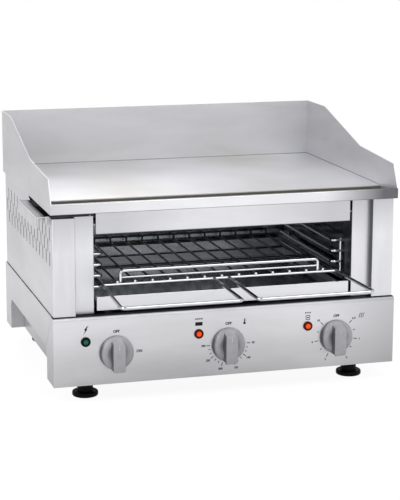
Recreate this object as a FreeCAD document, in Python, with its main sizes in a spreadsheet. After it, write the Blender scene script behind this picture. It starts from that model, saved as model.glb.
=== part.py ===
import FreeCAD, Part

import math
import os
import re

import Sketcher
from FreeCAD import Placement, Rotation, Vector

# Counter-top griddle over a toasting cavity, in millimetres.
# X runs to the right, Y to the back and Z up. Formulas are written from the middle plane
# of the machine, and each finished node is then moved so that the origin lies at the
# bottom centre of the whole part.

# Driving dimensions
SIZES = {
    # Overall sizes
    "tray_width": 615,
    "tray_depth": 466,
    "foot_height": 31.5,
    "base_height": 119,
    "body_height": 168.2,
    "tray_gap": 8,
    "tray_seam": 1.5,
    "sheet": 1.2,
    "guard_sheet": 1.5,
    "seam": 1,
    "fit_gap": 0.3,
    "contact_gap": 0.05,
    "fold": 1.8,
    "body_overhang": 3.5,
    "body_front_inset": 9,
    "body_back_inset": 6,
    "base_ledge": 2.2,
    "base_front_inset": 1.5,
    # Griddle tray
    "fascia_height": 18,
    "fascia_hem": 5,
    "plate_thickness": 9.8,
    "plate_edge_round": 2,
    "gutter_width": 74.5,
    "gutter_lap": 15,
    "guard_height": 98,
    "guard_shoulder": 48.5,
    "guard_nose": 39.5,
    "guard_nose_set": 20.5,
    "guard_slope_end": 182,
    "guard_flat": 97,
    # Grease drawer under the tray's left end, and the drain over it
    "drawer_front_set": 47,
    "drawer_width": 160,
    "drawer_length": 184,
    "drawer_depth": 13,
    "drawer_drop": 2,
    "drawer_clearance": 1,
    "drawer_stand": 4,
    "drawer_lip_reach": 21.5,
    "drawer_lip_drop": 20,
    "drawer_lip_side": 3,
    "drawer_rest": 2.5,
    "drawer_tread": 12,
    "drain_radius": 6.5,
    "drain_in_x": 90.5,
    "drain_in_y": 13,
    "spout_length": 6,
    # Toasting cavity
    "pillar_face": 39,
    "strip_width": 34,
    "recess": 12.5,
    "jamb_depth": 40,
    "cavity_back_gap": 87,
    "hood_height": 40,
    "hood_side_gap": 4,
    "hood_flange": 14,
    "pin_radius": 2,
    "pin_rise": 16.5,
    "pin_set": 5,
    "swage_depth": 2,
    "swage_height": 13,
    "swage_rise": 6.3,
    # Slots in the side panels and the rear cover
    "slot_length": 24,
    "slot_width": 5,
    "slot_pitch": 30.2,
    "slot_front_set": 23.5,
    "slot_row_pitch": 21.15,
    "slot_rows": 3,
    "slot_web": 1.3,
    "side_step_gap": 9,
    "doubler_lap": 2.5,
    "step_round": 4,
    "louvre_length": 92,
    "louvre_height": 5,
    "louvre_pitch": 18,
    "louvre_rows": 5,
    "louvre_low": 60,
    "louvre_gap": 36,
    "screw_head": 3.6,
    "screw_height": 2,
    "screw_slot": 1,
    "screw_inset": 14,
    # Crumb tray
    "crumb_front_height": 24,
    "crumb_skirt": 0.5,
    "crumb_side_gap": 4.5,
    "crumb_pan_gap": 1,
    "crumb_wall": 13,
    "crumb_back_gap": 8.5,
    "slide_height": 5.2,
    "slide_width": 12,
    "slide_inset": 21,
    # Toast rack and its runners
    "wire_radius": 3,
    "cross_wire_radius": 2.75,
    "runner_rise": 4.7,
    "rail_pitch": 19.3,
    "rail_count": 4,
    "rail_inset": 21.4,
    "upright_radius": 2.5,
    "upright_inset": 5,
    "peg_radius": 2,
    "runner_back_set": 33,
    "runner_bend": 6,
    "rack_side_gap": 20,
    "rack_inset": 44,
    "rack_back_gap": 13,
    "middle_bar_set": 134,
    "slat_radius": 2,
    "slat_pitch": 31,
    "slat_rise": 12,
    "slat_bend": 5,
    "handle_reach": 166,
    "handle_flare": 7,
    "handle_gap": 27,
    "handle_bend": 8,
    "arch_inset": 7,
    "arch_height": 22,
    "arch_middle": 10.4,
    "arch_bend": 6,
    "arch_wire": 1.75,
    # Base
    "leg_depth": 58.5,
    "leg_slope": 19.5,
    "leg_shoulder": 5,
    "skirt_height": 61,
    "return_top_depth": 13.5,
    "skirt_gap": 1,
    "rear_leg_depth": 53,
    "rear_leg_round": 15,
    "leg_flange": 26.5,
    "flange_rise": 9,
    "foot_plate_width": 80,
    "foot_plate_sheet": 2,
    "panel_flange": 20,
    "panel_roll": 6,
    "housing_inset": 25,
    "housing_back_gap": 58.5,
    # Feet
    "foot_radius": 22.5,
    "foot_disc": 9,
    "foot_round": 3,
    "foot_neck": 14,
    "foot_stem": 13,
    "bolt_radius": 4,
    "bolt_head": 7.5,
    "bolt_head_height": 5.5,
    "bolt_clearance": 0.1,
    "foot_inset": 64,
    "foot_front_edge": 9,
    "foot_back_edge": 12,
    # Controls
    "control_pitch": 198,
    "knob_drop": 65,
    "lamp_drop": 42.6,
    "lamp_side": 53,
    "knob_radius": 29.5,
    "knob_top_radius": 27,
    "knob_skirt": 7,
    "knob_depth": 24,
    "knob_disc": 3,
    "grip_width": 22,
    "grip_reach": 23,
    "grip_round": 1.8,
    "socket_depth": 12,
    "spindle_radius": 3,
    "spindle_length": 42,
    "spindle_hole_gap": 1,
    "bearing_gap": 0.05,
    "lamp_radius": 8.2,
    "lamp_bezel": 2.2,
    "lamp_stem_radius": 6.4,
    "lamp_stem_length": 28,
    "lamp_lens_radius": 4.8,
    "lamp_dome": 1.5,
    "switch_width": 34,
    "switch_height": 34,
    "switch_depth": 32,
    "thermostat_width": 46,
    "thermostat_height": 36,
    "thermostat_depth": 40,
    "regulator_width": 38,
    "regulator_height": 42,
    "regulator_depth": 48,
    "tab_width": 18,
    "tab_length": 6,
    "tab_height": 4,
    # Supply entry and wiring
    "gland_radius": 8,
    "gland_flange": 12,
    "gland_bore": 4.5,
    "gland_from_end": 70,
    "gland_reach": 10,
    "gland_inside": 14,
    "nut_height": 5,
    "terminal_width": 50,
    "terminal_depth": 22,
    "terminal_height": 18,
    "terminal_ways": 5,
    "terminal_well": 2.6,
    "terminal_set": 15,
    "lead_radius": 2,
    "lead_bend": 10,
    "lead_pitch": 6,
    "lead_reach": 12,
    "lead_row": 60,
    # Elements
    "element_radius": 4,
    "element_bend": 20,
    "element_back_set": 27,
    "element_drop": 40,
    "griddle_leg_pitch": 92,
    "clamp_count": 3,
    "clamp_width": 20,
    "clamp_thickness": 2.5,
    "clamp_end": 20,
    "post_radius": 3,
    "toast_loops": 3,
    "toast_drop": 1,
    "toast_front_set": 28,
    "toast_back_reach": 40,
    "terminal_radius": 5.5,
    "terminal_length": 10,
    "hanger_width": 10,
    "hanger_set": 88,
    "blanket_gap": 10,
    "blanket_air": 4.5,
    "bulb_radius": 3,
    "bulb_length": 100,
    "bulb_back_set": 153,
    "capillary_radius": 1,
    "capillary_bend": 8,
    "capillary_set": 20,
    "capillary_rise": 10,
}

# Positions and lengths that follow from them, each a formula
PLACES = {
    # Overall sizes
    "front": "-tray_depth / 2",
    "back": "tray_depth / 2",
    "half_tray": "tray_width / 2",
    "half_body": "half_tray - body_overhang",
    "half_base": "half_body + base_ledge",
    "base_top": "foot_height + base_height",
    "body_bottom": "base_top + seam",
    "body_top": "base_top + body_height",
    "tray_bottom": "body_top + tray_gap",
    "body_front": "front + body_front_inset",
    "body_back": "back - body_back_inset",
    "base_front": "front + base_front_inset",
    # Griddle tray
    "fascia_top": "tray_bottom + fascia_height",
    "plate_bottom": "tray_bottom + sheet",
    "plate_top": "plate_bottom + plate_thickness",
    "plate_front": "front + gutter_width",
    "floor_end": "plate_front + gutter_lap",
    "guard_top": "fascia_top + guard_height",
    # Grease drawer under the tray's left end, and the drain over it
    "drawer_x0": "-half_body - drawer_stand",
    "drawer_x1": "drawer_x0 + drawer_length",
    "drawer_y0": "front + drawer_front_set",
    "drawer_y1": "drawer_y0 + drawer_width",
    "drawer_top": "body_top - drawer_drop",
    "drawer_bottom": "drawer_top - drawer_depth",
    "drawer_lip_x": "-half_body - drawer_lip_reach",
    "drain_x": "drawer_x0 + drain_in_x",
    "drain_y": "drawer_y0 + drain_in_y",
    # Toasting cavity
    "pillar_x": "half_body - pillar_face",
    "half_opening": "pillar_x - strip_width",
    "recess_y": "body_front + recess",
    "jamb_y": "recess_y + jamb_depth",
    "cavity_back": "body_back - cavity_back_gap",
    "hood_bottom": "tray_bottom - hood_height",
    "hood_half": "half_opening - hood_side_gap",
    "ceiling_z": "drawer_bottom - fit_gap - drawer_rest - sheet",
    # Slots in the side panels and the rear cover
    "slot_first_y": "body_front + slot_front_set",
    "slot_first_z": "drawer_bottom - drawer_clearance - slot_web - slot_length / 2",
    "side_step_y": "drawer_y1 + side_step_gap",
    "panel_top": "tray_bottom - tray_seam",
    # Crumb tray
    "crumb_half": "half_opening - crumb_side_gap",
    "crumb_floor": "base_top + slide_height + fit_gap",
    "crumb_low": "crumb_floor - crumb_skirt",
    "crumb_top": "crumb_low + crumb_front_height",
    "crumb_back": "cavity_back - crumb_back_gap",
    # Toast rack and its runners
    "rail_z": "crumb_top + runner_rise + wire_radius",
    "rail_x": "half_opening - rail_inset",
    "upright_x": "half_opening - upright_inset",
    "runner_back": "cavity_back - runner_back_set",
    "rack_half": "half_opening - rack_side_gap",
    "rack_z": "rail_z + 2 * wire_radius + fit_gap",
    "rack_front": "front + rack_inset",
    "rack_back": "cavity_back - rack_back_gap",
    "handle_front": "rack_front - handle_reach",
    "slat_z": "rack_z + cross_wire_radius + slat_radius",
    "slat_end": "floor((rack_half - 2 * wire_radius) / slat_pitch) * slat_pitch",
    "arch_half": "slat_end - arch_inset",
    "arch_y": "rack_front + cross_wire_radius + wire_radius",
    "swage_z": "rail_z + swage_rise",
    # Base
    "skirt_z": "base_top - skirt_height",
    "leg_y": "base_front + leg_depth",
    "rear_leg_y": "back - rear_leg_depth",
    "skirt_y": "base_front + return_top_depth + skirt_gap",
    # Feet
    "foot_x": "half_base - foot_inset",
    "foot_front_y": "leg_y - foot_front_edge",
    "foot_back_y": "rear_leg_y + foot_back_edge",
    "housing_half": "half_base - housing_inset",
    "housing_front": "leg_y + seam",
    "housing_y": "back - housing_back_gap",
    # Controls
    "knob_z": "base_top - knob_drop",
    "lamp_z": "base_top - lamp_drop",
    "panel_inside": "base_front + sheet",
    # Supply entry and wiring
    "gland_x": "half_base - gland_from_end",
    "gland_z": "skirt_z + skirt_height / 2",
    "terminal_x": "housing_half - sheet - terminal_set - terminal_width",
    "terminal_y": "housing_y - sheet - terminal_set - terminal_depth",
    # Elements
    "toast_z": "ceiling_z - toast_drop - element_radius",
    "toast_y": "cavity_back + toast_back_reach",
    "element_z": "plate_bottom - element_radius - contact_gap",
    "element_front": "floor_end + element_radius + seam",
    "element_back": "back - element_back_set",
    "clamp_top": "element_z - element_radius",
    "clamp_low": "clamp_top - clamp_thickness",
    "capillary_y": "cavity_back + capillary_set",
    "capillary_z": "knob_z + capillary_rise",
    # Whole part's box, from the drawer's lip to the tray's right side and the handles to the gland
    "centre_x": "(half_tray + drawer_lip_x) / 2",
    "centre_y": "(handle_front - wire_radius + back + gland_reach) / 2",
}

doc = FreeCAD.newDocument("griddle_toaster")
sheet_object = doc.addObject("Spreadsheet::Sheet", "Sizes")
places = doc.addObject("App::VarSet", "Places")
probe = doc.addObject("App::VarSet", "Probe")
size_names = set()
place_names = set()
nodes = {}


def size(alias, value):
    """Write one driving dimension as a row of the spreadsheet."""
    row = len(size_names) + 1
    sheet_object.set(f"A{row}", alias)
    sheet_object.set(f"B{row}", str(value))
    sheet_object.setAlias(f"B{row}", alias)
    size_names.add(alias)


def spell(formula):
    """Turn plain size and place names in a formula into references to their objects."""
    def reference(match):
        word = match.group(0)
        if word in size_names:
            return f"Sizes.{word}"
        if word in place_names:
            return f"Places.{word}"
        return word
    return re.sub(r"[a-z][a-z0-9_]*", reference, str(formula))


def place(name, formula):
    """Name a position or length that follows from the driving dimensions."""
    places.addProperty("App::PropertyFloat", name)
    places.setExpression(name, spell(formula))
    place_names.add(name)


def bind(thing, path, formula):
    """Tie one property of an object to a formula."""
    thing.setExpression(path, spell(formula))


def measure(*formulas):
    """Numbers that the formulas come to, worked out by the document's expressions."""
    for index, formula in enumerate(formulas):
        name = f"value{index}"
        if name not in probe.PropertiesList:
            probe.addProperty("App::PropertyFloat", name)
        probe.setExpression(name, spell(formula))
    doc.recompute([probe])
    return [getattr(probe, f"value{index}") for index in range(len(formulas))]


def node(name, thing):
    """Name a finished sub-part and move it from the middle plane to the part's origin."""
    if thing.TypeId in ("Part::Box", "Part::Cylinder", "Part::Cone"):
        wrapper = doc.addObject("Part::Compound", name)
        wrapper.Links = [thing]
        thing = wrapper
    thing.Label = name
    bind(thing, "Placement.Base.x", "-centre_x")
    bind(thing, "Placement.Base.y", "-centre_y")
    nodes[name] = thing
    return thing


def locate(thing, x, y, z):
    """Bind the position of a primitive."""
    bind(thing, "Placement.Base.x", x)
    bind(thing, "Placement.Base.y", y)
    bind(thing, "Placement.Base.z", z)


def box(x0, x1, y0, y1, z0, z1):
    """Box between two corners given as formulas."""
    block = doc.addObject("Part::Box", "Block")
    bind(block, "Length", f"({x1}) - ({x0})")
    bind(block, "Width", f"({y1}) - ({y0})")
    bind(block, "Height", f"({z1}) - ({z0})")
    locate(block, x0, y0, z0)
    return block


TURNS = {
    "+X": Rotation(Vector(0, 1, 0), 90),
    "-X": Rotation(Vector(0, 1, 0), -90),
    "+Y": Rotation(Vector(1, 0, 0), -90),
    "-Y": Rotation(Vector(1, 0, 0), 90),
    "+Z": Rotation(),
    "-Z": Rotation(Vector(1, 0, 0), 180),
}


def rod(x, y, z, radius, length, direction="+Z"):
    """Cylinder that starts at a point and runs in one of the six main directions."""
    cylinder = doc.addObject("Part::Cylinder", "Rod")
    bind(cylinder, "Radius", radius)
    bind(cylinder, "Height", length)
    cylinder.Placement = Placement(Vector(), TURNS[direction])
    locate(cylinder, x, y, z)
    return cylinder


def taper(x, y, z, radius, end_radius, length, direction="+Z"):
    """Truncated cone that starts at a point and runs in one of the six main directions."""
    cone = doc.addObject("Part::Cone", "Taper")
    bind(cone, "Radius1", radius)
    bind(cone, "Radius2", end_radius)
    bind(cone, "Height", length)
    cone.Placement = Placement(Vector(), TURNS[direction])
    locate(cone, x, y, z)
    return cone


def fuse(*things):
    """Join overlapping or touching solids into one."""
    joined = doc.addObject("Part::MultiFuse", "Joined")
    joined.Shapes = list(things)
    joined.Refine = True
    return joined


def group(*things):
    """Keep separate solids together as one node."""
    gathered = doc.addObject("Part::Compound", "Group")
    gathered.Links = list(things)
    return gathered


def cut(base, *tools):
    """Take tools away from a solid."""
    difference = doc.addObject("Part::Cut", "Difference")
    difference.Base = base
    difference.Tool = tools[0] if len(tools) == 1 else group(*tools)
    return difference


def keep_inside(base, limit):
    """Keep the part of a solid that lies inside another."""
    common = doc.addObject("Part::Common", "Inside")
    common.Base = base
    common.Tool = limit
    return common


def round_edges(base, radius, wanted):
    """Round the edges of a solid that satisfy a test."""
    doc.recompute([base])
    reach = measure(radius)[0]
    chosen = [n for n, edge in enumerate(base.Shape.Edges, 1) if wanted(edge)]
    rounded = doc.addObject("Part::Fillet", "Rounded")
    rounded.Base = base
    rounded.Edges = [(n, reach, reach) for n in chosen]
    return rounded


def runs_along(edge, axis):
    """Whether an edge is a straight line along an axis, 0 for X, 1 for Y, 2 for Z."""
    if edge.Curve.TypeId != "Part::GeomLine":
        return False
    first, last = edge.Vertexes[0].Point, edge.Vertexes[-1].Point
    return all(abs(first[k] - last[k]) < 0.001 for k in range(3) if k != axis)


def passes(edge, **at):
    """Whether the middle of an edge has the given coordinates."""
    middle = edge.CenterOfMass
    letters = {"x": 0, "y": 1, "z": 2}
    return all(abs(middle[letters[k]] - v) < 0.01 for k, v in at.items())


def sketch_on(body, plane, depth, points):
    """Closed sketch through formula points, set off along the normal of a body's own plane."""
    sketch = body.newObject("Sketcher::SketchObject", "Outline")
    support = next(f for f in body.Origin.OriginFeatures if f.Role == plane)
    sketch.AttachmentSupport = [(support, "")]
    sketch.MapMode = "FlatFace"
    bind(sketch, "AttachmentOffset.Base.z", depth)
    flat = measure(*[formula for point in points for formula in point])
    corners = [Vector(x, y, 0) for x, y in zip(flat[::2], flat[1::2])]
    count = len(corners)
    for n, corner in enumerate(corners):
        sketch.addGeometry(Part.LineSegment(corner, corners[(n + 1) % count]), False)
    for n in range(count):
        sketch.addConstraint(Sketcher.Constraint("Coincident", n, 2, (n + 1) % count, 1))
    for n, (across, along) in enumerate(points):
        for kind, letter, number, formula in (("DistanceX", "x", corners[n].x, across),
                                              ("DistanceY", "y", corners[n].y, along)):
            index = sketch.addConstraint(Sketcher.Constraint(kind, -1, 1, n, 1, number))
            sketch.renameConstraint(index, f"{letter}{n}")
            bind(sketch, f"Constraints.{letter}{n}", formula)
    return sketch


def profile(plane, depth, length, points, name="Profile"):
    """Body padded from a closed outline, along the normal of the plane."""
    body = doc.addObject("PartDesign::Body", name)
    sketch = sketch_on(body, plane, depth, points)
    pad = body.newObject("PartDesign::Pad", "Pad")
    pad.Profile = sketch
    bind(pad, "Length", length)
    return body


def across_x(points, x0, x1):
    """Solid with an outline in Y and Z between two X positions."""
    return profile("YZ_Plane", x0, f"({x1}) - ({x0})", points)


def across_y(points, y0, y1):
    """Solid with an outline in X and Z between two Y positions."""
    return profile("XZ_Plane", f"-({y1})", f"({y1}) - ({y0})", points)


def across_z(points, z0, z1):
    """Solid with an outline in X and Y between two Z positions."""
    return profile("XY_Plane", z0, f"({z1}) - ({z0})", points)


def round_body(body, radius, wanted):
    """Round edges of a body, with the radius tied to a size."""
    doc.recompute([body])
    shape = body.Tip.Shape
    chosen = [f"Edge{n}" for n, edge in enumerate(shape.Edges, 1) if wanted(edge)]
    fillet = body.newObject("PartDesign::Fillet", "Fillet")
    fillet.Base = (body.Group[-2], chosen)
    bind(fillet, "Radius", radius)
    body.Tip = fillet
    return body


def bent_wire(radius, bend, points):
    """Round wire along straight runs joined by bends, sized from formulas."""
    numbers = measure(radius, bend, *[formula for point in points for formula in point])
    wire_radius, bend_radius, flat = numbers[0], numbers[1], numbers[2:]
    corners = [Vector(*flat[n:n + 3]) for n in range(0, len(flat), 3)]
    edges = []
    start = corners[0]
    for before, corner, after in zip(corners, corners[1:], corners[2:]):
        incoming = (corner - before).normalize()
        outgoing = (after - corner).normalize()
        turn = incoming.getAngle(outgoing)
        setback = bend_radius * math.tan(turn / 2)
        enter = corner - incoming * setback
        leave = corner + outgoing * setback
        inward = (outgoing - incoming).normalize()
        middle = corner + inward * (bend_radius / math.cos(turn / 2) - bend_radius)
        edges.append(Part.LineSegment(start, enter).toShape())
        edges.append(Part.Arc(enter, middle, leave).toShape())
        start = leave
    edges.append(Part.LineSegment(start, corners[-1]).toShape())
    heading = (corners[1] - corners[0]).normalize()
    ring = Part.Wire([Part.makeCircle(wire_radius, corners[0], heading)])
    wire = doc.addObject("Part::Feature", "Wire")
    wire.Shape = Part.Wire(edges).makePipeShell([ring], True, False)
    return wire


for alias, value in SIZES.items():
    size(alias, value)
for name, formula in PLACES.items():
    place(name, formula)


def splash_guard():
    """One sheet folded round the left, back and right of the plate, with a sloping side."""
    side = across_x([
        ("front + sheet", "tray_bottom"),
        ("front + sheet", "fascia_top"),
        ("front + guard_nose_set", "fascia_top + guard_nose"),
        ("front + guard_slope_end", "fascia_top + guard_shoulder"),
        ("back - guard_flat", "guard_top"),
        ("back", "guard_top"),
        ("back", "tray_bottom"),
    ], "-half_tray", "half_tray")
    hollow = box("-half_tray + guard_sheet", "half_tray - guard_sheet", "front - seam",
                 "back - guard_sheet", "tray_bottom - seam", "guard_top + seam")
    shell = cut(side, hollow)
    depth, width = measure("back", "half_tray")
    rounded = round_edges(shell, "fold", lambda e: runs_along(e, 2)
                          and abs(abs(e.CenterOfMass.x) - width) < 0.01
                          and abs(e.CenterOfMass.y - depth) < 0.01)
    node("splash_guard", rounded)


def griddle_plate():
    """Thick steel cooking plate, welded in between the guard's walls."""
    plate = box("-half_tray + guard_sheet", "half_tray - guard_sheet", "plate_front",
                "back - guard_sheet", "plate_bottom", "plate_top")
    edge_y, edge_z = measure("plate_front", "plate_top")
    node("griddle_plate", round_edges(plate, "plate_edge_round", lambda e: runs_along(e, 0)
                                      and passes(e, y=edge_y, z=edge_z)))


def front_gutter():
    """Fascia with a hemmed top, folded back into the floor of the grease gutter."""
    section = across_x([
        ("front", "tray_bottom"),
        ("front", "fascia_top"),
        ("front + fascia_hem", "fascia_top"),
        ("front + fascia_hem", "fascia_top - sheet"),
        ("front + sheet", "fascia_top - sheet"),
        ("front + sheet", "plate_bottom"),
        ("floor_end", "plate_bottom"),
        ("floor_end", "tray_bottom"),
    ], "-half_tray", "half_tray")
    edge_y, low, high = measure("front", "tray_bottom", "fascia_top")
    round_body(section, "fold", lambda e: runs_along(e, 0)
               and (passes(e, y=edge_y, z=low) or passes(e, y=edge_y, z=high)))
    ends = [box(x0, x1, "front + sheet", "floor_end + seam",
                "tray_bottom - seam", "fascia_top + seam")
            for x0, x1 in (("-half_tray - seam", "-half_tray + guard_sheet"),
                           ("half_tray - guard_sheet", "half_tray + seam"))]
    drain = rod("drain_x", "drain_y", "tray_bottom - seam", "drain_radius", "sheet + 2 * seam")
    node("front_gutter", cut(section, *ends, drain))


def drain_spout():
    """Short tube that leads fat from the gutter down into the drawer."""
    outer = rod("drain_x", "drain_y", "tray_bottom", "drain_radius + sheet", "spout_length", "-Z")
    bore = rod("drain_x", "drain_y", "tray_bottom + seam", "drain_radius",
               "spout_length + 2 * seam", "-Z")
    node("drain_spout", cut(outer, bore))


def grease_drawer():
    """Shallow pan with a ledge and a turned-down lip that stands out of the left side."""
    pan = box("drawer_x0", "drawer_x1", "drawer_y0", "drawer_y1", "drawer_bottom", "drawer_top")
    inside = box("drawer_x0 + sheet", "drawer_x1 - sheet", "drawer_y0 + sheet",
                 "drawer_y1 - sheet", "drawer_bottom + sheet", "drawer_top + seam")
    ledge = across_y([
        ("drawer_x0", "drawer_top"),
        ("drawer_lip_x", "drawer_top"),
        ("drawer_lip_x", "drawer_top - drawer_lip_drop"),
        ("drawer_lip_x + sheet", "drawer_top - drawer_lip_drop"),
        ("drawer_lip_x + sheet", "drawer_top - sheet"),
        ("drawer_x0", "drawer_top - sheet"),
    ], "drawer_y0 - drawer_lip_side", "drawer_y1 + drawer_lip_side")
    lip_x, lip_z = measure("drawer_lip_x", "drawer_top")
    round_body(ledge, "fold", lambda e: runs_along(e, 1) and passes(e, x=lip_x, z=lip_z))
    node("grease_drawer", fuse(cut(pan, inside), ledge))


def drawer_slides():
    """Two angle strips on the cavity's ceiling that carry and guide the drawer."""
    strips = []
    for edge, away in (("drawer_y0", "-"), ("drawer_y1", "+")):
        inward = "+" if away == "-" else "-"
        guide = f"{edge} {away} fit_gap"
        outer = f"{edge} {away} (fit_gap + sheet)"
        tread = f"{edge} {inward} drawer_tread"
        low, rest, high = "ceiling_z + sheet", "drawer_bottom - fit_gap", "drawer_top - drawer_depth / 2"
        strips.append(across_x([(outer, low), (outer, high), (guide, high), (guide, rest),
                                (tread, rest), (tread, low)], "-half_opening", "drawer_x1"))
    node("drawer_slides", group(*strips))


def hood_panel():
    """Folded panel over the cavity's mouth; the tray's front rests on its top flange."""
    channel = across_x([
        ("recess_y", "hood_bottom"),
        ("recess_y", "tray_bottom"),
        ("recess_y + hood_flange", "tray_bottom"),
        ("recess_y + hood_flange", "tray_bottom - sheet"),
        ("recess_y + sheet", "tray_bottom - sheet"),
        ("recess_y + sheet", "hood_bottom + sheet"),
        ("recess_y + hood_flange", "hood_bottom + sheet"),
        ("recess_y + hood_flange", "hood_bottom"),
    ], "-hood_half", "hood_half")
    edge_y, low = measure("recess_y", "hood_bottom")
    round_body(channel, "fold", lambda e: runs_along(e, 0) and passes(e, y=edge_y, z=low))
    node("hood_panel", channel)


def hood_pins():
    """Pins that hold the hood panel off the jambs."""
    pins = [rod(f"{side} * hood_half", "recess_y + pin_set", "hood_bottom + pin_rise", "pin_radius",
                "hood_side_gap", direction) for side, direction in ((-1, "-X"), (1, "+X"))]
    node("hood_pins", group(*pins))


def pillar(name, side, top):
    """Front post: outer face, step back, inner strip and the jamb's return, low at the ceiling."""
    points = [(f"{side} * ({x})", y) for x, y in (
        ("half_body - sheet", "body_front"),
        ("pillar_x", "body_front"),
        ("pillar_x", "recess_y"),
        ("half_opening", "recess_y"),
        ("half_opening", "jamb_y"),
        ("half_opening + sheet", "jamb_y"),
        ("half_opening + sheet", "recess_y + sheet"),
        ("pillar_x + sheet", "recess_y + sheet"),
        ("pillar_x + sheet", "body_front + sheet"),
        ("half_body - sheet", "body_front + sheet"),
    )]
    post = across_z(points, "body_bottom", top)
    outer_x, outer_y, inner_x, inner_y = measure("pillar_x", "body_front", "half_opening", "recess_y")
    round_body(post, "fold", lambda e: runs_along(e, 2)
               and (passes(e, x=side * outer_x, y=outer_y) or passes(e, x=side * inner_x, y=inner_y)))
    faces = ("half_opening - seam", "half_opening + sheet + seam")
    x0, x1 = [f"{side} * ({face})" for face in faces[::side]]
    notch = box(x0, x1, "recess_y + hood_flange", "jamb_y + seam", "ceiling_z", f"{top} + seam")
    node(name, cut(post, notch))


def side_slots(outer_x):
    """Staggered rows of upright vent slots, as tools that cut a side panel."""
    tools = []
    first, last, pitch, rows = measure("slot_first_y", "body_back - slot_width", "slot_pitch",
                                       "slot_rows")
    x0, x1 = f"{outer_x} - 2 * sheet", f"{outer_x} + 2 * sheet"
    half = "(slot_length - slot_width) / 2"
    for row in range(int(rows)):
        shift = row % 2 / 2
        for n in range(int((last - first) / pitch - shift) + 1):
            y = f"slot_first_y + {n + shift} * slot_pitch"
            z = f"slot_first_z - {row} * slot_row_pitch"
            straight = box(x0, x1, f"{y} - slot_width / 2", f"{y} + slot_width / 2",
                           f"{z} - {half}", f"{z} + {half}")
            ends = [rod(x0, y, f"{z} {sign} {half}", "slot_width / 2", "4 * sheet", "+X")
                    for sign in "-+"]
            tools.append(fuse(straight, *ends))
    return tools


def side_panel(name, side):
    """Slotted side sheet with a doubler that carries the tray; low at the drawer on the left."""
    faces = ("half_body - sheet", "half_body")
    x0, x1 = [f"{side} * ({face})" for face in faces[::side]]
    low_front = [("body_front", "body_top"), ("side_step_y", "body_top"),
                 ("side_step_y", "panel_top")]
    panel = across_x([("body_front", "body_bottom")]
                     + (low_front if side < 0 else [("body_front", "panel_top")])
                     + [("body_back", "panel_top"), ("body_back", "body_bottom")], x0, x1)
    if side < 0:
        step_y, step_z = measure("side_step_y", "panel_top")
        round_body(panel, "step_round", lambda e: runs_along(e, 0) and passes(e, y=step_y, z=step_z))
    tools = side_slots(f"{side} * half_body")
    if side < 0:
        tools.append(box("-half_body - seam", "-half_body + sheet + seam",
                         "drawer_y0 - drawer_clearance", "drawer_y1 + drawer_clearance",
                         "drawer_bottom - drawer_clearance", "body_top + seam"))
    faces = ("half_body - 2 * sheet", "half_body - sheet")
    x0, x1 = [f"{side} * ({face})" for face in faces[::side]]
    doubler = box(x0, x1, "side_step_y", "body_back - sheet", "panel_top - doubler_lap",
                  "plate_bottom")
    node(name, fuse(cut(panel, *tools), doubler))


def rear_panel():
    """Removable rear cover with rows of vent slots."""
    cover = box("-half_body + sheet", "half_body - sheet", "body_back - sheet", "body_back",
                "body_bottom", "plate_bottom")
    slots = []
    for row in range(int(measure("louvre_rows")[0])):
        z = f"body_bottom + louvre_low + {row} * louvre_pitch"
        for column in (-1, 0, 1):
            x = f"{column} * (louvre_length + louvre_gap)"
            slots.append(box(f"{x} - louvre_length / 2", f"{x} + louvre_length / 2",
                             "body_back - 2 * sheet", "body_back + sheet",
                             z, f"{z} + louvre_height"))
    node("rear_panel", cut(cover, *slots))


def cover_screws():
    """Slotted screws round the edge of the rear cover."""
    screws = []
    for side in (-1, 0, 1):
        for z in ("body_bottom + screw_inset", "tray_bottom - screw_inset"):
            x = f"{side} * (half_body - screw_inset)"
            head = rod(x, "body_back", z, "screw_head", "screw_height", "+Y")
            recess = box(f"{x} - 2 * screw_head", f"{x} + 2 * screw_head",
                         "body_back + screw_height / 2", "body_back + 2 * screw_height",
                         f"{z} - screw_slot / 2", f"{z} + screw_slot / 2")
            screws.append(cut(head, recess))
    node("cover_screws", group(*screws))


def cavity_walls():
    """Side walls, back wall and ceiling of the toasting cavity, with pressed swages."""
    for name, side in (("liner_left", -1), ("liner_right", 1)):
        faces = ("half_opening", "half_opening + sheet")
        x0, x1 = [f"{side} * ({face})" for face in faces[::side]]
        wall = box(x0, x1, "jamb_y", "cavity_back", "base_top", "ceiling_z")
        swage = across_y([(f"{side} * ({x})", z) for x, z in (
            ("half_opening", "swage_z - swage_depth"),
            ("half_opening - swage_depth", "swage_z"),
            ("half_opening - swage_depth", "swage_z + swage_height"),
            ("half_opening", "swage_z + swage_height + swage_depth"),
        )], "jamb_y + swage_height", "cavity_back - swage_height")
        node(name, fuse(wall, swage))
    back_wall = box("-half_opening - sheet", "half_opening + sheet", "cavity_back",
                    "cavity_back + sheet", "base_top", "ceiling_z")
    swage = across_x([
        ("cavity_back", "swage_z - swage_depth"),
        ("cavity_back - swage_depth", "swage_z"),
        ("cavity_back - swage_depth", "swage_z + swage_height"),
        ("cavity_back", "swage_z + swage_height + swage_depth"),
    ], "-half_opening + swage_height", "half_opening - swage_height")
    holes = [rod(x, "cavity_back - seam", "toast_z", "element_radius + fit_gap",
                 "2 * seam + sheet", "+Y") for x in toast_legs()]
    node("liner_back", cut(fuse(back_wall, swage), *holes))
    node("cavity_ceiling", box("-half_opening - sheet", "half_opening + sheet",
                               "recess_y + hood_flange + seam", "cavity_back + sheet",
                               "ceiling_z", "ceiling_z + sheet"))


def toast_legs():
    """X positions of the legs of the toasting elements."""
    legs = 2 * int(measure("toast_loops")[0])
    return [f"({2 * n + 1 - legs}) * rail_x / {legs}" for n in range(legs)]


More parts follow.
